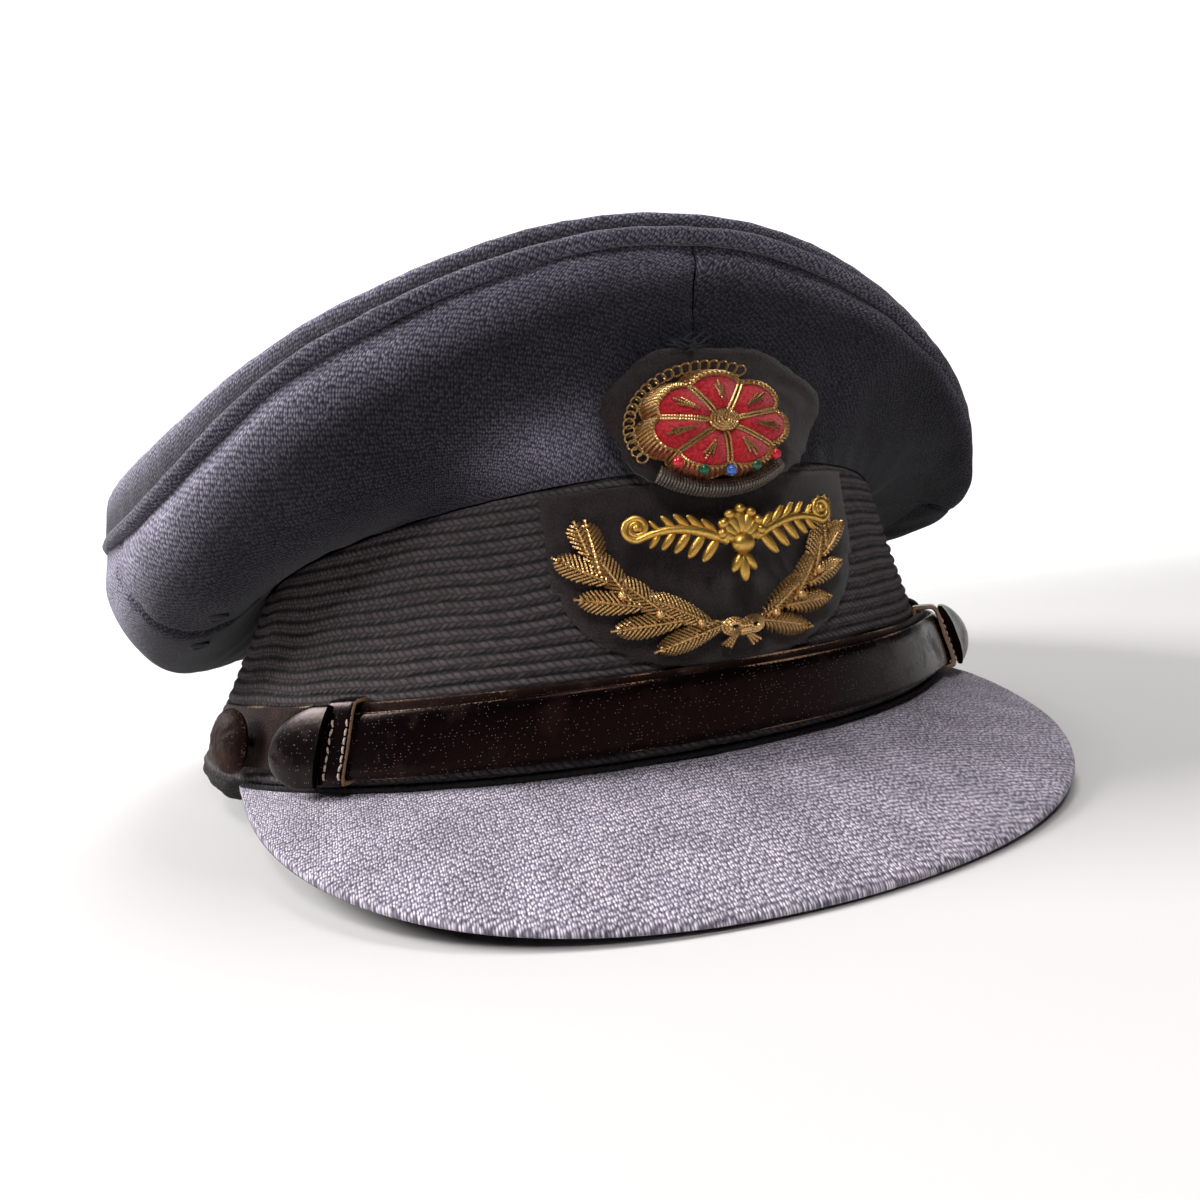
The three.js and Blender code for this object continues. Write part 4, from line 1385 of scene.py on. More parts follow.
    def quarter_relief(
        self,
        angle: Array,
        t: Array,
        points: Array,
        ends: tuple[float, float],
    ) -> Array:
        """Sum ripples, folds beside the badge, and the turned-in seams at both ends."""
        radius = np.linalg.norm(points[..., :2], axis=-1)
        arc = np.radians(angle) * radius
        height = t * self.quarter_height
        relief = self.slack(arc, height) - self.sag(angle, t)
        for dent in self.dents:
            relief = relief + dent.rise * bell(angle, dent.angle, dent.width) * bell(t, dent.share, 0.3)
        for end in ends:
            near = np.abs(np.radians(angle - end) * radius)
            relief = relief - self.seam_depth * np.exp(-((near / self.seam_reach) ** 2))
            pucker = np.sin(height * 2.0 * math.pi / 5.6 + 1.5 * ripple(arc, height, 20.0, 8))
            relief = relief + 0.17 * pucker * np.exp(-((near / 4.5) ** 2))
        gather = 0.14 * np.sin(arc * 2.0 * math.pi / 7.5 + 2.0 * ripple(arc, height, 30.0, 9))
        return relief * smooth_step(0.0, 0.1, t) + gather * np.exp(-height / 3.5)

    @staticmethod
    def painted_light_share(angle: Array, t: Array) -> Array:
        """Give a quarter's painted light: painted shade in front and just under the piping, and painted
        light on its shoulders, upper right side, back and a patch beside the badge.
        """
        shoulder = smooth_step(0.66, 0.95, t) * (0.4 + 0.6 * smooth_step(10.0, -40.0, angle))
        right = bell(angle, -84.0, 22.0) * smooth_step(0.5, 0.88, t)
        rear = smooth_step(95.0, 130.0, np.abs(angle))
        fold = 0.6 * bell(angle, -20.0, 8.0) * bell(t, 0.16, 0.16)
        painted_light_level = np.clip(0.05 + 0.85 * shoulder + 0.6 * right + 0.24 * rear + fold, 0.0, 1.0)
        # painted shade just under the piping
        return painted_light_level * (1.0 - 0.75 * smooth_step(0.955, 0.99, t))

    def slack(self, arc: Array, height: Array) -> Array:
        """Sum the broad and the small ripples of a quarter's cloth."""
        broad = self.ripple_depth * ripple(arc, height, self.ripple_size, 6)
        return broad + 0.16 * ripple(arc, height, 15.0, 7)

    def sag(self, angle: Array, t: Array) -> Array:
        """Give how far the wearer's left side hangs in below its shoulder."""
        return self.sag_depth * bell(angle, 82.0, 24.0) * bell(t, 0.32, 0.2)

    def quarter(self, node: str, low: float, high: float, steps: int) -> Piece:
        """Build a quarter as sections from band to piping, carried from seam to seam."""
        rows = 62
        angle = clustered(low + 0.06, high - 0.06, steps, 0.75)[:, None]
        t = clustered(0.0, 1.0, rows, 0.45)[None]
        face = SHAPE.on_quarter(angle, t)
        out = normals(face)
        relief = self.quarter_relief(*np.broadcast_arrays(angle, t), face, (low, high))
        wall = 0.45 + (self.cloth - 0.45) * (1.0 - smooth_step(0.6, 0.92, t))
        inner = face - out * wall[..., None]
        face = face + out * relief[..., None]
        tuck = SHAPE.rim_out(angle) * (self.edge_tuck * smooth_step(0.86, 1.0, t))[..., None]
        tuck = tuck - UP * self.edge_lap * smooth_step(0.93, 1.0, t)[..., None]
        face, inner = face - tuck, inner - tuck
        points = SHAPE.world(np.concatenate([face, inner[:, ::-1]], axis=1))
        # painted light and shade on the quarter's wool
        painted_light_level = np.broadcast_to(self.painted_light_share(angle, t), face.shape[:2])
        skin = Skin(node + "_cloth")
        skin.shell(points, ends=Ends.STRIP, wear_and_shade=np.concatenate([painted_light_level, painted_light_level[:, ::-1]], axis=1))
        piece = skin.finish([self.wool], Slot.WOOL, (node,))
        self.declare(piece, face * MM, "ribbed_band_braid", False)
        return piece

    def vents(self) -> Piece:
        """Work a buttonhole ring round each vent, over a dark disc that is painted shade for the hole.
        """
        skin = Skin("vent_eyelets")
        angle, t = np.array(self.eyelets).T
        here = SHAPE.on_quarter(angle, t)
        level = unit(SHAPE.on_quarter(angle + 0.2, t) - here)
        out = unit(np.cross(level, SHAPE.on_quarter(angle, t + 0.005) - here))
        up = np.cross(out, level)
        arc = np.radians(angle) * np.linalg.norm(here[:, :2], axis=-1)
        lift = self.slack(arc, t * self.quarter_height)
        here = here + out * (lift - self.sag(angle, t) + 0.1)[:, None]
        turn = around(40)[None, :, None]
        circle = level[:, None] * np.cos(turn) + up[:, None] * np.sin(turn)
        ring = here[:, None] + self.eyelet_radius * circle
        side = np.broadcast_to(out[:, None], ring.shape)
        beat = (1.0 + 0.12 * np.sin(turn[..., 0] * 20.0)) * self.eyelet_thread * MM
        skin.rod(SHAPE.world(ring), side, beat, sides=8, loop=True)
        # The dark disc of black thread stands in for the vent's hole: painted shade of the cap's inside.
        sizes = np.array([self.eyelet_radius, self.eyelet_radius, 0.35]) * MM
        axes = np.stack([level, up, out], axis=1) * sizes[None, :, None]
        skin.blobs(SHAPE.world(here), axes, rings=5, sides=16)
        return skin.finish([self.thread], Slot.WOOL)


# The band and the peak


@dataclass
class Band:
    """The mohair braid band: level ribs, each of two rows of stitches that lean by turns."""

    braid: Material
    stitches: int = 380
    stitch_mm: float = 1.5
    columns: int = 640
    rows: int = 132
    rib_pitch: float = 2.3
    rib_depth: float = 0.6
    proud: float = 0.3
    wall: float = 3.0
    overlap: float = 0.65

    def build(self) -> Piece:
        """Carry the band's section once round the cap."""
        angle = np.linspace(-180.0, 180.0, self.columns + 1)[:, None]
        share = np.linspace(0.0, 1.0, self.rows)[None]
        foot, top = SHAPE.band_foot(angle), SHAPE.row("band", angle) + self.overlap
        height = foot + (top - foot) * share
        place = self.rib_place(angle, height)
        rib = 1.0 - np.abs(2.0 * (place - np.floor(place)) - 1.0) ** 2.6
        arc = np.radians(angle) * SHAPE.band_half_width
        relief = self.proud - self.rib_depth * (1.0 - rib) + 0.14 * ripple(arc, height, 3.4, 14)
        edge = smooth_step(0.0, 0.02, share) * (1.0 - 0.8 * smooth_step(0.985, 1.0, share))
        face = SHAPE.on_band(angle, height, relief * edge - 0.5 * (1.0 - edge))
        back = foot + (top - foot) * np.linspace(1.0, 0.0, 6)[None]
        inner = SHAPE.on_band(angle, back, -self.wall)
        points = SHAPE.world(np.concatenate([face, inner], axis=1))[:-1]
        # Painted shade: the braid's colour is darkened in the grooves between the ribs and along its
        # lowest rows; the rib tops keep their faded grey. The inner face gets 0.4.
        faded_and_lit = rib ** 0.8 * (0.12 + 0.88 * smooth_step(-1.5, 2.5, height))
        worn_and_shaded = np.concatenate([faded_and_lit, np.full(back.shape, 0.4)], axis=1)[:-1]
        up = np.concatenate([place, back / self.rib_pitch, place[:, :1]], axis=1)
        along = angle / 360.0 * self.stitches * self.stitch_mm + 0.0 * up
        skin = Skin("ribbed_band_braid")
        uv = np.stack([along, up * self.rib_pitch], axis=-1) * MM
        skin.shell(points, loop=(True, True), ends=Ends.OPEN, uv=uv, wear_and_shade=worn_and_shaded)
        return skin.finish([self.braid], Slot.BRAID, ("ribbed_band",), sharp=80.0)

    def rib_place(self, angle: Array, height: Array) -> Array:
        """Count the ribs up to a height: height over the pitch, with a slow wander."""
        arc = np.radians(angle) * SHAPE.band_half_width
        wander = 0.3 * ripple(arc, height, 26.0, 12) * smooth_step(0.0, 30.0, 180.0 - np.abs(angle))
        return (height + wander) / self.rib_pitch


@dataclass
class Peak:
    """The cloth-covered peak, with a dark lining below and a welt where it meets the band."""

    wool: Material
    lining: Material
    welt_material: Material
    cover: float = 1.5
    lining_depth: float = 0.7
    steps: int = 300
    ripple_depth: float = 0.16

    def build(self) -> list[Piece]:
        """Make the cover, the lining and the welt."""
        return [self.covered(), self.lined(), self.welt()]

    def angles(self, margin: float = 0.0) -> Array:
        """Spread angles over the peak, closer together at its corners."""
        half = SHAPE.peak_half_angle - margin
        return clustered(-half, half, self.steps, 0.5)[:, None]

    def covered(self) -> Piece:
        """Wrap the cover over the edge: its rim is a half circle of the board's thickness."""
        angle = self.angles()
        reach = clustered(0.0, 0.965, 52, 0.4)
        turn = np.linspace(0.0, math.pi, 9)[1:-1]
        bulge = 0.965 + 0.035 * np.sin(turn)
        under = 0.5 * self.cover * (1.0 - np.cos(turn))
        back = reach[::-3]
        reaches = np.concatenate([reach, bulge, back])[None]
        depths = np.concatenate([np.zeros(len(reach)), under, np.full(len(back), self.cover)])[None]
        points = SHAPE.on_peak(angle, reaches, depths)
        lift = self.ripple_depth * ripple(points[..., 0], points[..., 1], 34.0, 21)
        lift = lift + 0.05 * ripple(points[..., 0], points[..., 1], 9.0, 22)
        points[..., 2] += lift * (depths < 0.5 * self.cover)
        skin = Skin("peak_cover")
        plan = points[..., :2] * MM
        skin.shell(SHAPE.world(points), uv=np.concatenate([plan, plan[:, :1]], axis=1), wear_and_shade=1.0)
        return skin.finish([self.wool], Slot.WOOL, ("peak",))

    def lined(self) -> Piece:
        """Lay the lining under the board, short of its edge."""
        angle = self.angles(0.8)
        reach = np.linspace(0.02, 0.95, 24)
        reaches = np.concatenate([reach, reach[::-1]])[None]
        top, low = self.cover + 0.02, self.cover + self.lining_depth
        depths = np.concatenate([np.full(24, top), np.full(24, low)])[None]
        skin = Skin("peak_lining")
        skin.shell(SHAPE.world(SHAPE.on_peak(angle, reaches, depths)))
        return skin.finish([self.lining], Slot.DULL, ("peak",))

    def welt(self) -> Piece:
        """Run a thin welt along the join of peak and band."""
        angle = np.linspace(-SHAPE.peak_half_angle + 1.0, SHAPE.peak_half_angle - 1.0, 240)
        path = SHAPE.on_peak(angle, 0.0, -0.2)
        path = path + SHAPE.band_out(angle) * 2.7
        skin = Skin("peak_welt")
        skin.rod(SHAPE.world(path), SHAPE.band_out(angle), 0.55 * MM, sides=8)
        return skin.finish([self.welt_material], Slot.BRAID)


# The chin strap


@dataclass
class ChinStrap:
    """A leather chin strap in two layers, with a slide and a D-shaped tab at each side.

    Distances are in millimetres: heights above the band's foot, and depths off the band's face.
    """

    patent: Material
    dull: Material
    thread: Material
    width: float = 11.0
    foot: float = 2.2
    lift: float = 1.2
    inner_depths: tuple[float, float] = (0.9, 1.9)
    outer_depths: tuple[float, float] = (2.3, 3.5)
    inner_reach: tuple[float, float] = (-76.0, 50.5)
    outer_reach: tuple[float, float] = (-49.5, 76.0)
    spring_height: float = 1.5
    slide_right: tuple[float, float] = (-46.5, -42.5)
    slide_left: tuple[float, float] = (43.5, 47.5)
    slide_wall: float = 0.9
    tab_right: tuple[float, float, float] = (-47.1, -6.2, 0.6)
    tab_left: tuple[float, float, float] = (48.1, 7.0, 4.4)
    tab_half_height: float = 7.0
    tab_thickness: float = 1.4
    button_radius: float = 6.3
    button_height: float = 8.2
    button_right: tuple[float, float] = (-63.0, 1.9)
    button_left: tuple[float, float] = (70.0, 3.5)

    def build(self) -> list[Piece]:
        """Make the two layers, the slides, their tabs and stitches, and the buttons."""
        return [
            self.layer("chin_strap_outer", self.outer_reach, self.outer_depths, True),
            self.layer("chin_strap_inner", self.inner_reach, self.inner_depths, False),
            self.slide("strap_slide_right", self.slide_right),
            self.slide("strap_slide_left", self.slide_left),
            self.tab("slide_tab_right", self.tab_right),
            self.tab("slide_tab_left", self.tab_left),
            self.stitches(),
            self.button("button_right", self.button_right),
            self.button("button_left", self.button_left),
        ]

    def spring(self, angle: Array) -> Array:
        """Give how far the outer layer stands off near the wearer's left slide."""
        rise = smooth_step(36.0, 50.0, angle) * (1.0 - smooth_step(52.0, 66.0, angle))
        return self.spring_height * rise

    def layer(
        self,
        node: str,
        reach: tuple[float, float],
        depths: tuple[float, float],
        outer: bool,
    ) -> Piece:
        """Carry a flat section with rounded edges round the band.

        Args:
            node: the node it stands for.
            reach: angles of its two ends.
            depths: how far its two faces are off the band.
            outer: whether it is the varnished layer, which hangs lower and springs off.

        Returns:
            The piece.
        """
        sides = 36
        across, through = rounded_box(sides, 0.32)
        angle = np.linspace(*reach, 340)[:, None]
        arc = np.radians(angle) * SHAPE.band_half_width
        sway = 0.16 * ripple(arc, 0.0, 60.0, 31 + outer)
        ends = bell(angle, reach[0], 0.9), bell(angle, reach[1], 0.9)
        half = self.width / 2 * (1.0 - 0.10 * ends[0] - 0.10 * ends[1])
        foot = self.foot + (0.0 if outer else self.lift)
        height = foot + self.width / 2 + sway + half * across
        middle, thick = sum(depths) / 2, (depths[1] - depths[0]) / 2
        off = middle + thick * through + (self.spring(angle) if outer else 0.0)
        off = off + 0.12 * ripple(arc, height, 24.0, 33 + outer) * (1.0 if outer else 1.6)
        off = off + 0.35 * (np.abs(across) ** 6) * (through > 0) * (-1.0 if outer else 0.6)
        wear_and_shade = smooth_step(0.86, 0.995, np.abs(across)) * np.ones(arc.shape)
        rubbed = np.clip(0.55 + 0.45 * ripple(arc, 0.0, 18.0, 35), 0.25, 1.0)
        skin = Skin(node + "_leather")
        skin.shell(SHAPE.world(SHAPE.on_band(angle, height, off)), wear_and_shade=wear_and_shade * rubbed)
        material, slot = (self.patent, Slot.PATENT) if outer else (self.dull, Slot.DULL)
        return skin.finish([material], slot, (node,))

    def slide(self, node: str, reach: tuple[float, float]) -> Piece:
        """Bend a flat leather loop round both layers; it is worn at its two edges."""
        wide, thick = rounded_box(16, 0.35)
        up, out = (way[:, None] for way in rounded_box(56, 0.3))
        middle, half = sum(reach) / 2, (reach[1] - reach[0]) / 2
        low = self.foot - 0.1 - self.slide_wall / 2
        high = self.foot + self.width + self.lift + 0.3 + self.slide_wall / 2
        near = self.inner_depths[0] - 0.55
        far = self.outer_depths[1] + 0.55 + self.spring(np.array(middle))
        grow = self.slide_wall / 2 * thick
        angle = middle + half * wide * (1.0 - 0.05 * np.abs(out))
        height = (low + high) / 2 + ((high - low) / 2 + grow) * up
        off = (near + far) / 2 + ((far - near) / 2 + grow) * out
        angle, height, off = np.broadcast_arrays(angle, height, off)
        off = off + 0.1 * ripple(angle * 1.6, height, 7.0, 41)
        points = SHAPE.world(SHAPE.on_band(angle, height, off))
        wear_and_shade = np.broadcast_to(smooth_step(0.9, 1.0, np.abs(wide)), angle.shape)
        skin = Skin(node + "_leather")
        skin.shell(points, loop=(True, True), ends=Ends.OPEN, wear_and_shade=wear_and_shade)
        return skin.finish([self.patent], Slot.PATENT, (node,))

    def tab(self, node: str, shape: tuple[float, float, float]) -> Piece:
        """Shape a tab like a D, thick in the middle; its round end stands off by a lift."""
        straight, length, lift = shape
        sides = 30
        across, through = rounded_box(sides, 0.5)
        turn = np.linspace(-12.0, 86.0, 44)[:, None]
        reach = np.sin(np.radians(turn))
        half = self.tab_half_height * np.minimum(np.cos(np.radians(turn)), 0.985)
        middle = self.foot + self.width / 2 + 0.4
        angle = straight + length * reach
        start = self.outer_depths[1] + 0.45 + self.spring(np.array(straight))
        dome = 0.9 * (1.0 - across ** 2) * (1.0 - np.maximum(reach, 0.0) ** 4) * (through > 0)
        half_thick = self.tab_thickness / 2 * np.minimum(1.0, 0.45 + 2.2 * np.cos(np.radians(turn)))
        off = start + lift * np.maximum(reach, 0.0) ** 1.4
        off = off + self.tab_thickness / 2 + half_thick * through + dome
        height = middle + half * across
        wear_and_shade = smooth_step(0.95, 1.0, np.abs(across)) * np.ones(turn.shape) * 0.5
        skin = Skin(node + "_leather")
        skin.shell(SHAPE.world(SHAPE.on_band(angle, height, off)), wear_and_shade=wear_and_shade)
        return skin.finish([self.patent], Slot.PATENT, (node,))

    def stitches(self) -> Piece:
        """Sew two rows of short stitches along each slide."""
        height = np.arange(self.foot + 0.9, self.foot + self.width - 0.2, 1.45)
        rows = [(a, self.outer_depths[1] + 1.05) for s in (self.slide_right, self.slide_left)
                for a in (s[0] + 1.5, s[1] - 0.55)]
        angle, off = np.array(rows).T
        angle = np.repeat(angle, len(height))
        off = np.repeat(off, len(height)) + self.spring(angle)
        height = np.tile(height, len(rows))
        lean = np.random.default_rng(SEED).uniform(-0.12, 0.12, height.shape)
        share = np.linspace(-1.0, 1.0, 5)[None]
        sag = 0.16 * share ** 2
        path = SHAPE.on_band(
            angle[:, None] + lean[:, None] * share,
            height[:, None] + 0.52 * share,
            off[:, None] - sag,
        )
        side = np.broadcast_to(SHAPE.band_out(angle)[:, None], path.shape)
        skin = Skin("slide_stitches")
        skin.rod(SHAPE.world(path), side, 0.2 * MM, sides=6)
        return skin.finish([self.thread], Slot.PATENT)

    def button(self, node: str, place: tuple[float, float]) -> Piece:
        """Turn a dome of leather on a shank: height (1 - r^2)^0.6, with small wrinkles."""
        angle, off = place
        here = SHAPE.on_band(np.array(angle), np.array(self.button_height), np.array(off))
        out = SHAPE.band_out(np.array(angle))
        out = unit(out + UP * 0.16)
        level = unit(np.cross(UP, out))
        up = np.cross(out, level)
        swing = np.linspace(-0.5, 1.52, 24)
        radius = np.concatenate([[0.15, 1.2, 1.2, 4.6, 5.8], self.button_radius * np.cos(swing)])
        high = np.where(swing < 0, 1.4, 3.1) * np.sin(swing)
        depth = np.concatenate([[0.0, 0.0, 1.5, 1.6, 1.75], 2.6 + high])
        turn = around(64)[:, None]
        x, y = radius * np.cos(turn), radius * np.sin(turn)
        crease = 0.12 * ripple(x, y, 4.5, 51) + 0.06 * ripple(x, y, 1.8, 52)
        depth = depth + crease * (depth > 2.4)
        points = here + level * x[..., None] + up * y[..., None] + out * depth[..., None]
        wear_and_shade = smooth_step(5.4, 6.3, radius) * np.ones(turn.shape) * 0.5
        skin = Skin(node + "_leather")
        skin.shell(SHAPE.world(points), loop=(True, False), wear_and_shade=wear_and_shade)
        return skin.finish([self.dull], Slot.DULL, (node,))


# The badge


@dataclass
class Badge:
    """The badge: felts, a padded rosette, a gilt palmette with scrolls, and a laurel wreath."""

    finishes: Wardrobe
    lower_half_width: float = 28.5
    lower_top: float = 44.6
    lower_foot: float = 29.0
    lower_round: tuple[float, float] = (27.5, 15.5)
    upper_middle: tuple[float, float] = (0.8, 54.0)
    upper_size: tuple[float, float] = (19.0, 12.2)
    rosette_middle: tuple[float, float] = (-1.0, 52.6)
    rosette_size: tuple[float, float] = (12.6, 8.8)
    rosette_off: float = 3.45
    rosette_rim: float = 1.6
    rosette_dome: float = 3.2
    petals: int = 7
    first_rib: float = 64.286
    lobe_depth: float = 0.13
    wreath_middle: tuple[float, float] = (-0.3, 37.5)
    wreath_depth: float = 17.0
    wreath_half_widths: tuple[float, float] = (22.6, 19.4)
    palmette_middle: tuple[float, float] = (0.3, 35.0)
    palmette_off: float = 4.3
    fan_degrees: tuple[float, ...] = (-66.0, -44.0, -22.0, 0.0, 22.0, 44.0, 66.0)
    fan_lengths: tuple[float, ...] = (3.6, 4.3, 4.8, 5.2, 4.8, 4.3, 3.6)
    drop_degrees: tuple[float, ...] = (0.0, 32.0, -32.0)
    drop_lengths: tuple[float, ...] = (4.4, 3.4, 3.4)
    scroll_shares: tuple[float, ...] = (0.12, 0.28, 0.44, 0.6, 0.76)
    scroll_leaves: tuple[float, ...] = (2.5, 2.5, 2.3, 2.0, 1.6)
    tie_middle: tuple[float, float] = (-0.3, 19.8)
    bead_colours: tuple[str, ...] = ("red", "green", "blue", "green", "red")

    def build(self) -> list[Piece]:
        """Make every layer of the badge from the felt outwards."""
        return [
            self.lower_felt(),
            self.upper_felt(),
            self.tuft(),
            self.rosette(),
            self.rosette_wires(),
            self.purl_loops(),
            *self.beads(),
            self.foot(),
            self.palmette(),
            self.spray("wreath_spray_right", -1.0, self.wreath_half_widths[0]),
            self.spray("wreath_spray_left", 1.0, self.wreath_half_widths[1]),
            self.tie(),
        ]

    # Felts

    def lower_felt(self) -> Piece:
        """Cut the lower felt like a shield, with a slightly furred edge."""
        side = np.linspace(0.0, 1.0, 60, endpoint=False)
        left, right = -self.lower_half_width, self.lower_half_width
        top, foot = self.lower_top, self.lower_foot
        sweep = np.radians(180.0 * np.linspace(0.0, 1.0, 140, endpoint=False))
        outline = np.concatenate([
            pair(left + (right - left) * side, top),
            pair(right, top + (foot - top) * side),
            pair(self.lower_round[0] * np.cos(sweep), foot - self.lower_round[1] * np.sin(sweep)),
            pair(left, foot + (top - foot) * side),
        ])
        index = np.arange(len(outline))
        outline = outline + 0.14 * pair(ripple(index, 0.0, 7.0, 61), ripple(index, 0.0, 9.0, 62))
        reaches = np.linspace(0.02, 1.0, 26)
        rise = np.full((len(outline), 26), 1.0) * (1.0 - 0.5 * (reaches > 0.995))
        rise = rise + 0.12 * ripple(outline[:, :1] * reaches, outline[:, 1:] * reaches, 12.0, 63)
        skin = Skin("badge_felt_lower_cloth")
        front_plate(skin, outline, (0.0, 31.0), 0.45, rise, reaches)
        return skin.finish([self.finishes.felt], Slot.FELT, ("badge_felt_lower",))

    def upper_outline(self) -> Array:
        """Give the ragged oval of the upper felt."""
        turn = np.radians(np.linspace(0.0, 360.0, 300, endpoint=False))
        ragged = 1.0 + 0.045 * np.sin(3 * turn + 0.6) + 0.03 * np.sin(7 * turn)
        ragged = ragged + 0.012 * ripple(turn * 20.0, 0.0, 3.0, 64)
        x = self.upper_middle[0] + self.upper_size[0] * ragged * np.cos(turn)
        height = self.upper_middle[1] + self.upper_size[1] * ragged * np.sin(turn)
        return pair(x, height)

    def upper_felt(self) -> Piece:
        """Cut the upper felt as a ragged oval that lifts a little at its edge."""
        outline = self.upper_outline()
        reaches = np.linspace(0.02, 1.0, 22)
        place = np.arange(len(outline))[:, None] / len(outline) * 60
        lift = 0.5 * reaches ** 6 * (1.0 + ripple(place, 0.0 * reaches, 14.0, 65))
        rise = 1.0 - 0.45 * (reaches > 0.99) + lift
        rise = rise + 0.12 * ripple(outline[:, :1] * reaches, outline[:, 1:] * reaches, 10.0, 66)
        skin = Skin("badge_felt_upper_cloth")
        front_plate(skin, outline, self.upper_middle, 1.9, rise, reaches)
        return skin.finish([self.finishes.felt], Slot.FELT, ("badge_felt_upper",))

    def tuft(self) -> Piece:
        """Leave a small knot of black thread ends over the upper felt, and fur along its edge."""
        random = np.random.default_rng(SEED + 5)
        count, steps = 34, 9
        share = np.linspace(0.0, 1.0, steps)[None]
        way = random.uniform(-80.0, 80.0, (count, 1))
        length = random.uniform(1.6, 4.2, (count, 1))
        curl = random.uniform(-1.0, 1.0, (count, 1))
        x = -3.2 + random.normal(0.0, 1.1, (count, 1))
        x = x + length * share * np.sin(np.radians(way)) + curl * share ** 2
        height = 65.4 + random.normal(0.0, 0.5, (count, 1))
        height = height + length * share * np.cos(np.radians(way)) * 0.55
        off = 2.4 + 1.6 * np.sin(math.pi * share) * random.uniform(0.3, 1.0, (count, 1))
        path, out = front(x, height, off)
        skin = Skin("felt_thread_ends")
        skin.rod(path, out, 0.2 * MM, sides=5)
        outline = self.upper_outline()
        hairs = 700
        base = outline[random.integers(0, len(outline), hairs)]
        away = unit(base - np.array(self.upper_middle))
        spread = away + random.normal(0.0, 0.7, away.shape)
        size = random.uniform(0.4, 1.3, (hairs, 1))
        share = np.linspace(0.0, 1.0, 4)[None]
        x = base[:, :1] + spread[:, :1] * size * share - away[:, :1] * 0.3
        height = base[:, 1:] + spread[:, 1:] * size * share - away[:, 1:] * 0.3
        off = 2.5 + random.uniform(-0.5, 0.8, (hairs, 1)) * share
        path, out = front(x, height, off)
        skin.rod(path, out, 0.045 * MM, sides=3)
        return skin.finish([self.finishes.black_thread], Slot.FELT)

    # Rosette

    def dome_off(self, x: Array, height: Array) -> Array:
        """Give the distance of the rosette's face from the cap: a dome with a dip between petals."""
        dx = (x - self.rosette_middle[0]) / self.rosette_size[0]
        dy = (height - self.rosette_middle[1]) / self.rosette_size[1]
        turn = np.arctan2(dy, dx)
        r = np.minimum(np.hypot(dx, dy) / self.lobes(turn), 1.0)
        petal = np.abs(np.sin(0.5 * self.petals * (turn - math.radians(self.first_rib))))
        dome = np.sqrt(np.maximum(1.0 - r ** 2.6, 0.0))
        puff = 0.6 + 0.4 * petal ** 0.7 * smooth_step(0.1, 0.45, r)
        rim = self.rosette_off + self.rosette_rim * smooth_step(1.0, 0.9, r)
        return rim + self.rosette_dome * dome * puff

    def lobes(self, turn: Array) -> Array:
        """Give the outline's share of the oval: 1 - d(1 - |sin(n(a - a0)/2)|) round the petals."""
        wave = np.abs(np.sin(0.5 * self.petals * (turn - math.radians(self.first_rib))))
        return 1.0 - self.lobe_depth * (1.0 - wave) ** 1.5

    def rosette(self) -> Piece:
        """Stuff the velvet rosette: one shell, domed, with a dip along each wire rib."""
        outline = pair(*self.on_rosette(np.radians(np.linspace(0.0, 360.0, 240, endpoint=False)), 1.0))
        reaches = 1.0 - (1.0 - np.linspace(0.02, 1.0, 40)) ** 1.5
        spots = rings_to(outline, self.rosette_middle, reaches)
        rise = self.dome_off(spots[..., 0], spots[..., 1]) - self.rosette_off
        skin = Skin("rosette_velvet")
        front_plate(skin, outline, self.rosette_middle, self.rosette_off, rise, reaches)
        piece = skin.finish([self.finishes.velvet], Slot.VELVET, ("rosette_pad",))
        return piece

    def on_rosette(self, turn: Array, reach: Array | float) -> tuple[Array, Array]:
        """Find widths and heights at angles round the rosette and shares of its reach."""
        reach = reach * self.lobes(turn)
        x = self.rosette_middle[0] + self.rosette_size[0] * reach * np.cos(turn)
        return x, self.rosette_middle[1] + self.rosette_size[1] * reach * np.sin(turn)

    def beside_rosette(self, degrees: Array, grow: float) -> tuple[Array, Array]:
        """Find widths and heights on an oval round the rosette, larger by a distance."""
        turn = np.radians(degrees)
        x = self.rosette_middle[0] + (self.rosette_size[0] + grow) * np.cos(turn)
        return x, self.rosette_middle[1] + (self.rosette_size[1] + grow) * np.sin(turn)

    def dome_path(self, turn: Array, reach: Array | float, lift: float) -> tuple[Array, Array]:
        """Find points and directions on the rosette's dome, lifted off it."""
        x, height = self.on_rosette(turn, reach)
        return front(x, height, self.dome_off(x, height) + lift)

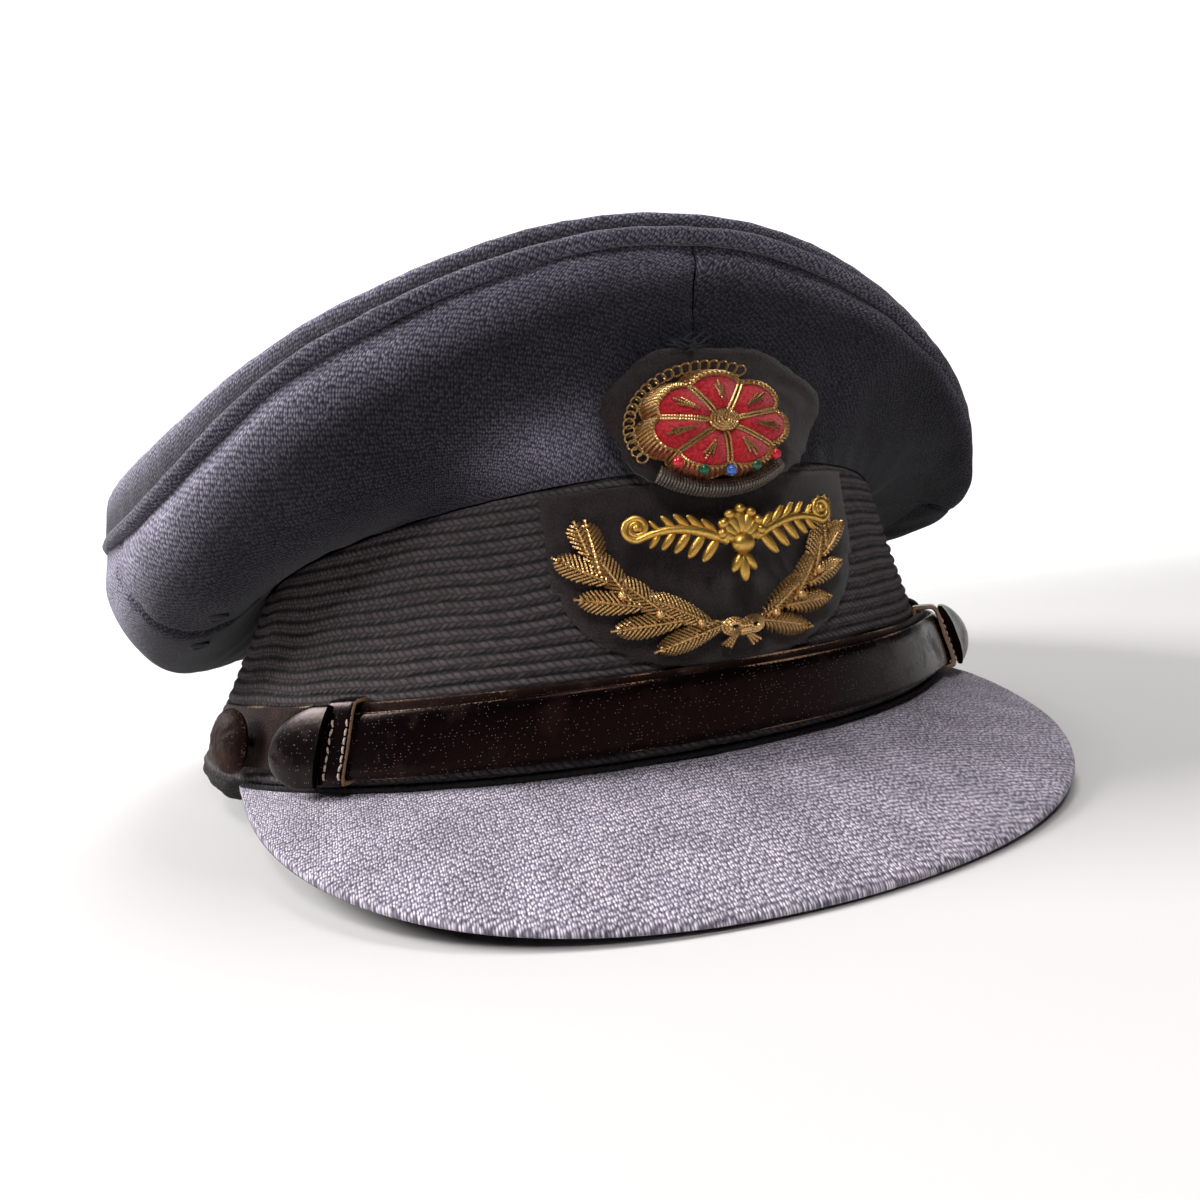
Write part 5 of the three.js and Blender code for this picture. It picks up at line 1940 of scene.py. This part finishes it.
    def rosette_wires(self) -> Piece:
        """Couch gold wire over the rosette: ribs between the petals, a corded rim, sprigs, a boss."""
        skin = Skin("rosette_gold_wires")
        rib = math.radians(self.first_rib) + 2.0 * math.pi * np.arange(self.petals) / self.petals
        reach = np.linspace(0.16, 0.88, 22)
        for shift, lift in ((-0.03, 0.2), (0.03, 0.2)):
            spread = shift / np.maximum(reach, 0.3)
            path, out = self.dome_path(rib[:, None] + spread[None], reach[None], lift)
            skin.rod(path, out, 0.26 * MM, sides=7, wear_and_shade=0.7)
        count = 90
        turn = 2.0 * math.pi * np.arange(count) / count
        share = np.linspace(-1.0, 1.0, 6)
        path, out = self.dome_path(turn[:, None] + 0.05 * share[None], 0.935 + 0.07 * share[None], 0.45)
        skin.rod(path, out, 0.27 * MM, sides=7, wear_and_shade=0.7)
        circle = around(220)
        for reach_at, lift, radius in ((0.85, 0.3, 0.24), (1.02, 0.2, 0.24)):
            path, out = self.dome_path(circle, reach_at, lift)
            beads = radius * (1.0 + 0.3 * np.sin(circle * 70.0))
            skin.rod(path, out, beads * MM, sides=6, loop=True, wear_and_shade=0.9)
        petal = rib + math.pi / self.petals
        for lean, start, end in ((-0.1, 0.44, 0.66), (0.0, 0.38, 0.74), (0.1, 0.44, 0.66)):
            share = np.linspace(start, end, 7)
            path, out = self.dome_path(petal[:, None] + lean * (share - 0.3) * 2.2, share[None], 0.25)
            skin.rod(path, out, 0.2 * MM, sides=6, wear_and_shade=0.6)
        coil = np.linspace(0.0, 1.0, 150)
        path, out = self.dome_path(coil * 9.0 * math.pi, 0.2 * (1.0 - coil * 0.93), 0.4)
        path = path + out * (1.1 * coil[:, None] ** 0.8) * MM
        skin.rod(path, out, 0.27 * MM, sides=7, wear_and_shade=0.8)
        return skin.finish([self.finishes.bullion], Slot.BULLION)

    def purl_loops(self) -> Piece:
        """Stand a row of small purl loops along the rosette's upper rim, and a larger one on top."""
        x, height = self.beside_rosette(np.linspace(64.0, 206.0, 22), 0.9)
        circle = around(18)
        ring_x = x[:, None] + 0.75 * np.cos(circle)
        ring_height = height[:, None] + 0.75 * np.sin(circle)
        path, out = front(ring_x, ring_height, 4.1 + 0.5 * np.sin(circle + 1.0))
        skin = Skin("rosette_purl_loops")
        skin.rod(path, out, 0.17 * MM, sides=6, loop=True, wear_and_shade=0.6)
        return skin.finish([self.finishes.bullion], Slot.BULLION)

    def foot_path(self, grow: float, half_reach: float, count: int) -> tuple[Array, Array]:
        """Give widths and heights along a curve below the rosette."""
        return self.beside_rosette(-90.0 + np.linspace(-half_reach, half_reach, count), grow)

    def beads(self) -> list[Piece]:
        """Set five glass beads in a row along the lower rim."""
        x, height = self.foot_path(-0.9, 42.0, 5)
        pieces = []
        for name, glass in self.finishes.beads.items():
            pick = np.array([bead == name for bead in self.bead_colours])
            skin = Skin(f"rosette_{name}_beads")
            front_blobs(skin, x[pick], height[pick], 6.9, (0.9, 0.9, 0.8), sides=14, wear_and_shade=0.0)
            pieces.append(skin.finish([glass], Slot.VELVET))
        return pieces

    def foot(self) -> Piece:
        """Lay the foot: a padded crescent under short silver wires, set side by side."""
        skin = Skin("rosette_foot_wires")
        x, height = self.foot_path(1.4, 47.0, 50)
        path, out = front(x, height, 4.1)
        # the padded crescent takes the dark hollow colour: painted shade in the gaps between the wires
        skin.rod(path, out, 1.25 * MM, sides=10, flat=0.75, wear_and_shade=0.2)
        x_in, height_in = self.foot_path(0.15, 48.0, 44)
        x_out, height_out = self.foot_path(2.75, 44.0, 44)
        share = np.linspace(0.0, 1.0, 7)[None]
        across_x = x_in[:, None] * (1 - share) + x_out[:, None] * share
        across_height = height_in[:, None] * (1 - share) + height_out[:, None] * share
        path, out = front(across_x, across_height, 4.0 + 1.35 * np.sin(math.pi * share) ** 0.8)
        skin.rod(path, out, 0.24 * MM, sides=6, wear_and_shade=0.75)
        return skin.finish([self.finishes.silver], Slot.SILVER, ("rosette_foot",))

    # Gilt ornament

    def palmette(self) -> Piece:
        """Cast the ornament: a fan of seven leaves over a boss, with a leafy scroll to each side."""
        skin = Skin("gilt_palmette")
        x, foot = self.palmette_middle[0], self.palmette_middle[1] - 1.4
        fan, length = np.radians(np.array(self.fan_degrees)), np.array(self.fan_lengths)
        for reach, lift, sizes in (
            (0.62, 0.9, (0.46 * length, 1.0, 0.9)),
            (0.98, 1.3, (0.8, 0.95, 0.85)),
        ):
            spots = x + reach * length * np.sin(fan), foot + reach * length * np.cos(fan)
            front_blobs(skin, *spots, self.palmette_off + lift, sizes, 90.0 - np.degrees(fan))
        front_blobs(skin, x, foot - 0.4, self.palmette_off + 1.2, (2.1, 1.7, 1.4))
        drop, length = np.array(self.drop_degrees), np.array(self.drop_lengths)
        drop_x = x + 0.6 * length * np.sin(np.radians(drop))
        height = foot - 1.6 - 0.6 * length * np.cos(np.radians(drop))
        sizes = (0.55 * length, np.where(drop == 0.0, 0.95, 0.8), 0.8)
        front_blobs(skin, drop_x, height, self.palmette_off + 0.8, sizes, -90.0 + drop)
        for side in (-1.0, 1.0):
            self.scroll(skin, side)
        return skin.finish([self.finishes.gilt], Slot.GILT, ("gilt_ornament",))

    def stem(self, share: Array, side: float) -> tuple[Array, Array]:
        """Give widths and heights along a scroll's stem: a sine arch that leaves the palmette."""
        x = self.palmette_middle[0] + side * (2.2 + 13.6 * share)
        return x, self.palmette_middle[1] - 1.0 + 3.4 * np.sin(share * 2.2) - 1.2 * share

    def scroll(self, skin: Skin, side: float) -> None:
        """Add one scroll: a stem that ends in a volute, with leaves along both its sides."""
        share = np.linspace(0.0, 1.0, 40)
        x, height = self.stem(share, side)
        end_x, end_h = x[-1], height[-1] + 1.9
        spin = np.linspace(-0.5 * math.pi, 3.3 * math.pi, 90)
        radius = 1.9 * (1.0 - 0.78 * np.linspace(0.0, 1.0, 90))
        x = np.concatenate([x, (end_x + side * radius * np.cos(spin))[1:]])
        height = np.concatenate([height, (end_h + radius * np.sin(spin))[1:]])
        path, out = front(x, height, self.palmette_off + 0.7)
        thick = np.concatenate([0.95 - 0.35 * share, np.linspace(0.6, 0.38, 89)])
        skin.rod(path, out, thick * MM, sides=9, flat=0.9, wear_and_shade=0.9)
        front_blobs(skin, end_x, end_h, self.palmette_off + 1.0, (0.65, 0.65, 0.6))
        stem_x, stem_h = self.stem(np.array(self.scroll_shares), side)
        for flip, tilt, shrink in ((-1.0, -50.0, 1.0), (1.0, 48.0, 0.8)):
            turn = tilt if side > 0 else 180.0 - tilt
            reach = np.array(self.scroll_leaves) * shrink
            leaf_x = stem_x + side * 0.7 * reach * abs(math.cos(math.radians(tilt)))
            leaf_h = stem_h + flip * 0.95 * reach * 0.8
            off = self.palmette_off + 0.5
            front_blobs(skin, leaf_x, leaf_h, off, (reach, 0.36 * reach, 0.6), turn)
            vein = np.linspace(-0.85, 0.85, 7)[None]
            c, s = math.cos(math.radians(turn)), math.sin(math.radians(turn))
            vein_x = leaf_x[:, None] + c * reach[:, None] * vein
            vein_h = leaf_h[:, None] + s * reach[:, None] * vein
            path, out = front(vein_x, vein_h, off + 0.55 * np.sqrt(1.0 - vein ** 2) + 0.1)
            skin.rod(path, out, 0.16 * MM, sides=6, wear_and_shade=1.0)

    # Wreath

    def wreath_arc(
        self,
        share: Array,
        side: float,
        half_width: float,
    ) -> tuple[Array, Array, Array]:
        """Give widths, heights and directions (degrees) along a spray, 0 at the tie, 1 at its tip."""
        turn = np.radians(86.0 - 76.0 * share)
        x = self.wreath_middle[0] + side * half_width * np.cos(turn)
        height = self.wreath_middle[1] - self.wreath_depth * np.sin(turn)
        way = np.degrees(np.arctan2(self.wreath_depth * np.cos(turn), side * half_width * np.sin(turn)))
        return x, height, way

    def spray(self, node: str, side: float, half_width: float) -> Piece:
        """Embroider a spray: pairs of pointed leaves, each of slanted wires on a beaded midrib."""
        skin = Skin(node + "_bullion")
        share = np.linspace(0.02, 1.0, 60)
        x, height, _ = self.wreath_arc(share, side, half_width)
        path, out = front(x, height, 2.6)
        skin.rod(path, out, (0.75 - 0.4 * share) * MM, sides=8, wear_and_shade=0.7)
        place = np.array([0.05, 0.28, 0.52, 0.77])
        for flip in (-1.0, 1.0):
            start = place + (0.07 if flip > 0 else 0.0)
            x, height, way = self.wreath_arc(start, side, half_width)
            turn = way + flip * side * 21.0
            length = np.linspace(10.8, 8.2, len(place))
            for k in range(len(place)):
                self.leaf(skin, x[k], height[k], turn[k], length[k], 1.75)
        x, height, way = self.wreath_arc(np.array([0.985]), side, half_width)
        self.leaf(skin, float(x[0]), float(height[0]), float(way[0]), 5.4, 1.5)
        berries = place[:-1] + 0.13
        x, height, _ = self.wreath_arc(berries, side, half_width)
        front_blobs(skin, x, height, 4.3, (0.8, 0.8, 0.75), rings=7, sides=10, wear_and_shade=1.0)
        return skin.finish([self.finishes.bullion], Slot.BULLION, (node,))

    @staticmethod
    def leaf(skin: Skin, x: float, height: float, turn: float, length: float, half_width: float) -> None:
        """Add a leaf: a low pad, slanted wires on both sides of its midrib, and the beaded midrib."""
        c, s = math.cos(math.radians(turn)), math.sin(math.radians(turn))
        middle = x + c * length / 2, height + s * length / 2
        sizes = length * 0.5, half_width * 0.86, 0.75
        # the pad takes the dark hollow colour: painted shade in the gaps between the wires
        front_blobs(skin, *middle, 2.55, sizes, turn, rings=7, wear_and_shade=0.0)
        count = round(length / 0.74)
        along = (np.arange(count) + 0.6) / count
        reach = half_width * np.sin(math.pi * np.clip(along * 0.86 + 0.1, 0.0, 1.0)) ** 0.75
        share = np.linspace(0.0, 1.0, 6)[None]
        for flip in (-1.0, 1.0):
            forward = along[:, None] * length + share * reach[:, None] * 0.95 - 0.3
            sideways = flip * (0.12 + share * reach[:, None])
            wire_x = x + c * forward - s * sideways
            wire_h = height + s * forward + c * sideways
            off = 3.35 + 0.35 * (1.0 - share ** 2) - 0.75 * share ** 3
            path, out = front(wire_x, wire_h, off)
            skin.rod(path, out, 0.26 * MM, sides=6, wear_and_shade=0.7)
        rib = np.linspace(0.0, 1.08, 40)
        beads = 0.24 + 0.08 * np.sin(rib * 60.0)
        path, out = front(x + c * rib * length, height + s * rib * length, 4.05 - 0.9 * rib ** 3)
        skin.rod(path, out, beads * MM, sides=6, wear_and_shade=1.0)

    def tie(self) -> Piece:
        """Tie the stems with a bow of gold wire: two loops, two ends and a knot."""
        skin = Skin("wreath_tie_bow")
        tx, th = self.tie_middle
        loop = around(30)
        for side in (-1.0, 1.0):
            for scale, lift in ((1.0, 0.0), (0.72, 0.35), (0.45, 0.6)):
                x = tx + side * (1.75 + 1.75 * scale * np.cos(loop))
                height = th + 0.3 + 1.25 * scale * np.sin(loop)
                path, out = front(x, height, 4.0 + lift + 0.35 * np.sin(loop / 2))
                skin.rod(path, out, 0.33 * MM, sides=7, loop=True, wear_and_shade=0.8)
            share = np.linspace(0.0, 1.0, 14)
            for spread in (0.0, 0.7, 1.4):
                x = tx + side * (0.4 + (1.7 + spread) * share)
                height = th - 0.4 - (3.3 - 0.5 * spread) * share + 0.5 * share ** 2
                path, out = front(x, height, 3.3 - 0.5 * share)
                skin.rod(path, out, 0.34 * MM, sides=7, wear_and_shade=0.7)
        knot = np.linspace(-1.0, 1.0, 6)
        for shift in (-0.55, 0.0, 0.55):
            path, out = front(tx + shift + 0.0 * knot, th + 1.15 * knot, 4.9 - 0.5 * knot ** 2)
            skin.rod(path, out, 0.42 * MM, sides=7, wear_and_shade=1.0)
        return skin.finish([self.finishes.bullion], Slot.BULLION, ("wreath_tie",))


# Light and camera


@dataclass(frozen=True)
class Lamp:
    """A square soft box: its name, place, the point it faces, width in metres and power in watts."""

    name: str
    place: tuple[float, float, float]
    target: tuple[float, float, float]
    size: float
    power: float

    def hang(self) -> None:
        """Hang the lamp."""
        light = bpy.data.lights.new(self.name, "AREA")
        light.size = self.size
        light.energy = self.power
        lamp = bpy.data.objects.new(self.name, light)
        lamp.location = self.place
        way = Vector(self.target) - Vector(self.place)
        lamp.rotation_euler = way.to_track_quat("-Z", "Y").to_euler()
        bpy.context.scene.collection.objects.link(lamp)


@dataclass
class Studio:
    """A pale sweep of paper, soft lamps and the camera at the photograph's angle."""

    paper: str = "#b9b7b6"
    lens_mm: float = 25.92
    sensor_mm: float = 36.0
    eye: tuple[float, float, float] = (-0.0693, -0.2178, 0.0501)
    back: tuple[float, float, float] = (-0.3421, -0.9376, 0.0623)
    up: tuple[float, float, float] = (0.1275, 0.0194, 0.9916)
    world_strength: float = 0.03
    glow_way: tuple[float, float, float] = (0.55, 0.83, 0.0)
    glow_from: float = 0.12
    glow_to: float = 0.9
    glow: float = 1.0
    lamps: tuple[Lamp, ...] = (
        Lamp("key", (-0.85, 0.26, 0.66), (0.0, 0.0, 0.05), 0.45, 22.0),
        Lamp("top", (0.12, 0.06, 1.10), (0.0, 0.0, 0.05), 0.55, 9.0),
        Lamp("front", (-0.28, -0.72, 0.86), (0.0, -0.05, 0.04), 0.22, 5.5),
    )

    def build(self) -> None:
        """Make the sweep, the world's light, the lamps and the camera."""
        self.sweep()
        self.world()
        for lamp in self.lamps:
            lamp.hang()
        self.camera()

    def sweep(self) -> None:
        """Curve a sheet of paper up behind the cap: flat, then a quarter circle, then upright."""
        bend = np.linspace(0.0, 0.5 * math.pi, 24)
        y = np.concatenate([[-3.0, 1.6], 1.6 + 1.2 * np.sin(bend), [2.8]])
        z = np.concatenate([[0.0, 0.0], 1.2 * (1.0 - np.cos(bend)), [4.5]])
        x = np.array([-5.0, 5.0])
        points = np.stack(np.broadcast_arrays(x[:, None], y[None], z[None]), axis=-1)
        mesh = bpy.data.meshes.new("paper_sweep")
        count = len(y)
        faces = [(k, count + k, count + k + 1, k + 1) for k in range(count - 1)]
        mesh.from_pydata(points.reshape(-1, 3).tolist(), [], faces)
        mesh.shade_smooth()
        piece = bpy.data.objects.new("paper_sweep", mesh)
        bpy.context.scene.collection.objects.link(piece)
        material = bpy.data.materials.new("white_paper")
        material.use_nodes = True
        shader = material.node_tree.nodes["Principled BSDF"]
        shader.inputs["Base Color"].default_value = colour(self.paper)
        shader.inputs["Roughness"].default_value = 0.9
        shader.inputs["Specular IOR Level"].default_value = 0.1
        self.light_up(material.node_tree, shader)
        mesh.materials.append(material)

    def light_up(self, tree: Tree, shader: bpy.types.Node) -> None:
        """Light the paper from behind where it rises, so that it stays evenly pale."""
        place = add(tree, "TexCoord", {})
        depth = add(tree, "VectorMath", {
            0: place.outputs["Object"], 1: self.glow_way,
        }, operation="DOT_PRODUCT")
        reach = self.glow_from, self.glow_to
        glow = span(tree, depth.outputs["Value"], reach, (0.0, self.glow), smooth=True)
        shader.inputs["Emission Color"].default_value = (1.0, 1.0, 1.0, 1.0)
        tree.links.new(glow, shader.inputs["Emission Strength"])

    def world(self) -> None:
        """Light everything evenly from all sides."""
        world = bpy.data.worlds.new("studio")
        bpy.context.scene.world = world
        world.use_nodes = True
        ground = world.node_tree.nodes["Background"]
        ground.inputs["Color"].default_value = (1.0, 1.0, 1.0, 1.0)
        ground.inputs["Strength"].default_value = self.world_strength

    def camera(self) -> None:
        """Place the camera where the photograph was taken."""
        data = bpy.data.cameras.new("photograph")
        data.lens = self.lens_mm
        data.sensor_width = self.sensor_mm
        data.clip_start = 0.01
        back = Vector(self.back).normalized()
        right = Vector(self.up).cross(back).normalized()
        up = back.cross(right)
        camera = bpy.data.objects.new("photograph", data)
        turn = Matrix((right, up, back)).transposed()
        camera.matrix_world = Matrix.Translation(Vector(self.eye)) @ turn.to_4x4()
        bpy.context.scene.collection.objects.link(camera)
        bpy.context.scene.camera = camera
        bpy.context.scene.view_settings.view_transform = "Standard"


def main() -> None:
    """Build the crown, band, peak, strap and badge, then light them."""
    logging.basicConfig(level=logging.INFO, format="%(name)s: %(message)s")
    finishes = Wardrobe()
    pieces = Crown(finishes.wool, finishes.black_thread).build()
    pieces.append(Band(finishes.braid).build())
    pieces += Peak(finishes.peak_wool, finishes.dull, finishes.braid).build()
    pieces += ChinStrap(finishes.patent, finishes.dull, finishes.thread).build()
    pieces += Badge(finishes).build()
    Studio().build()
    LOG.info("%d pieces", len(pieces))


if __name__ == "__main__":
    main()
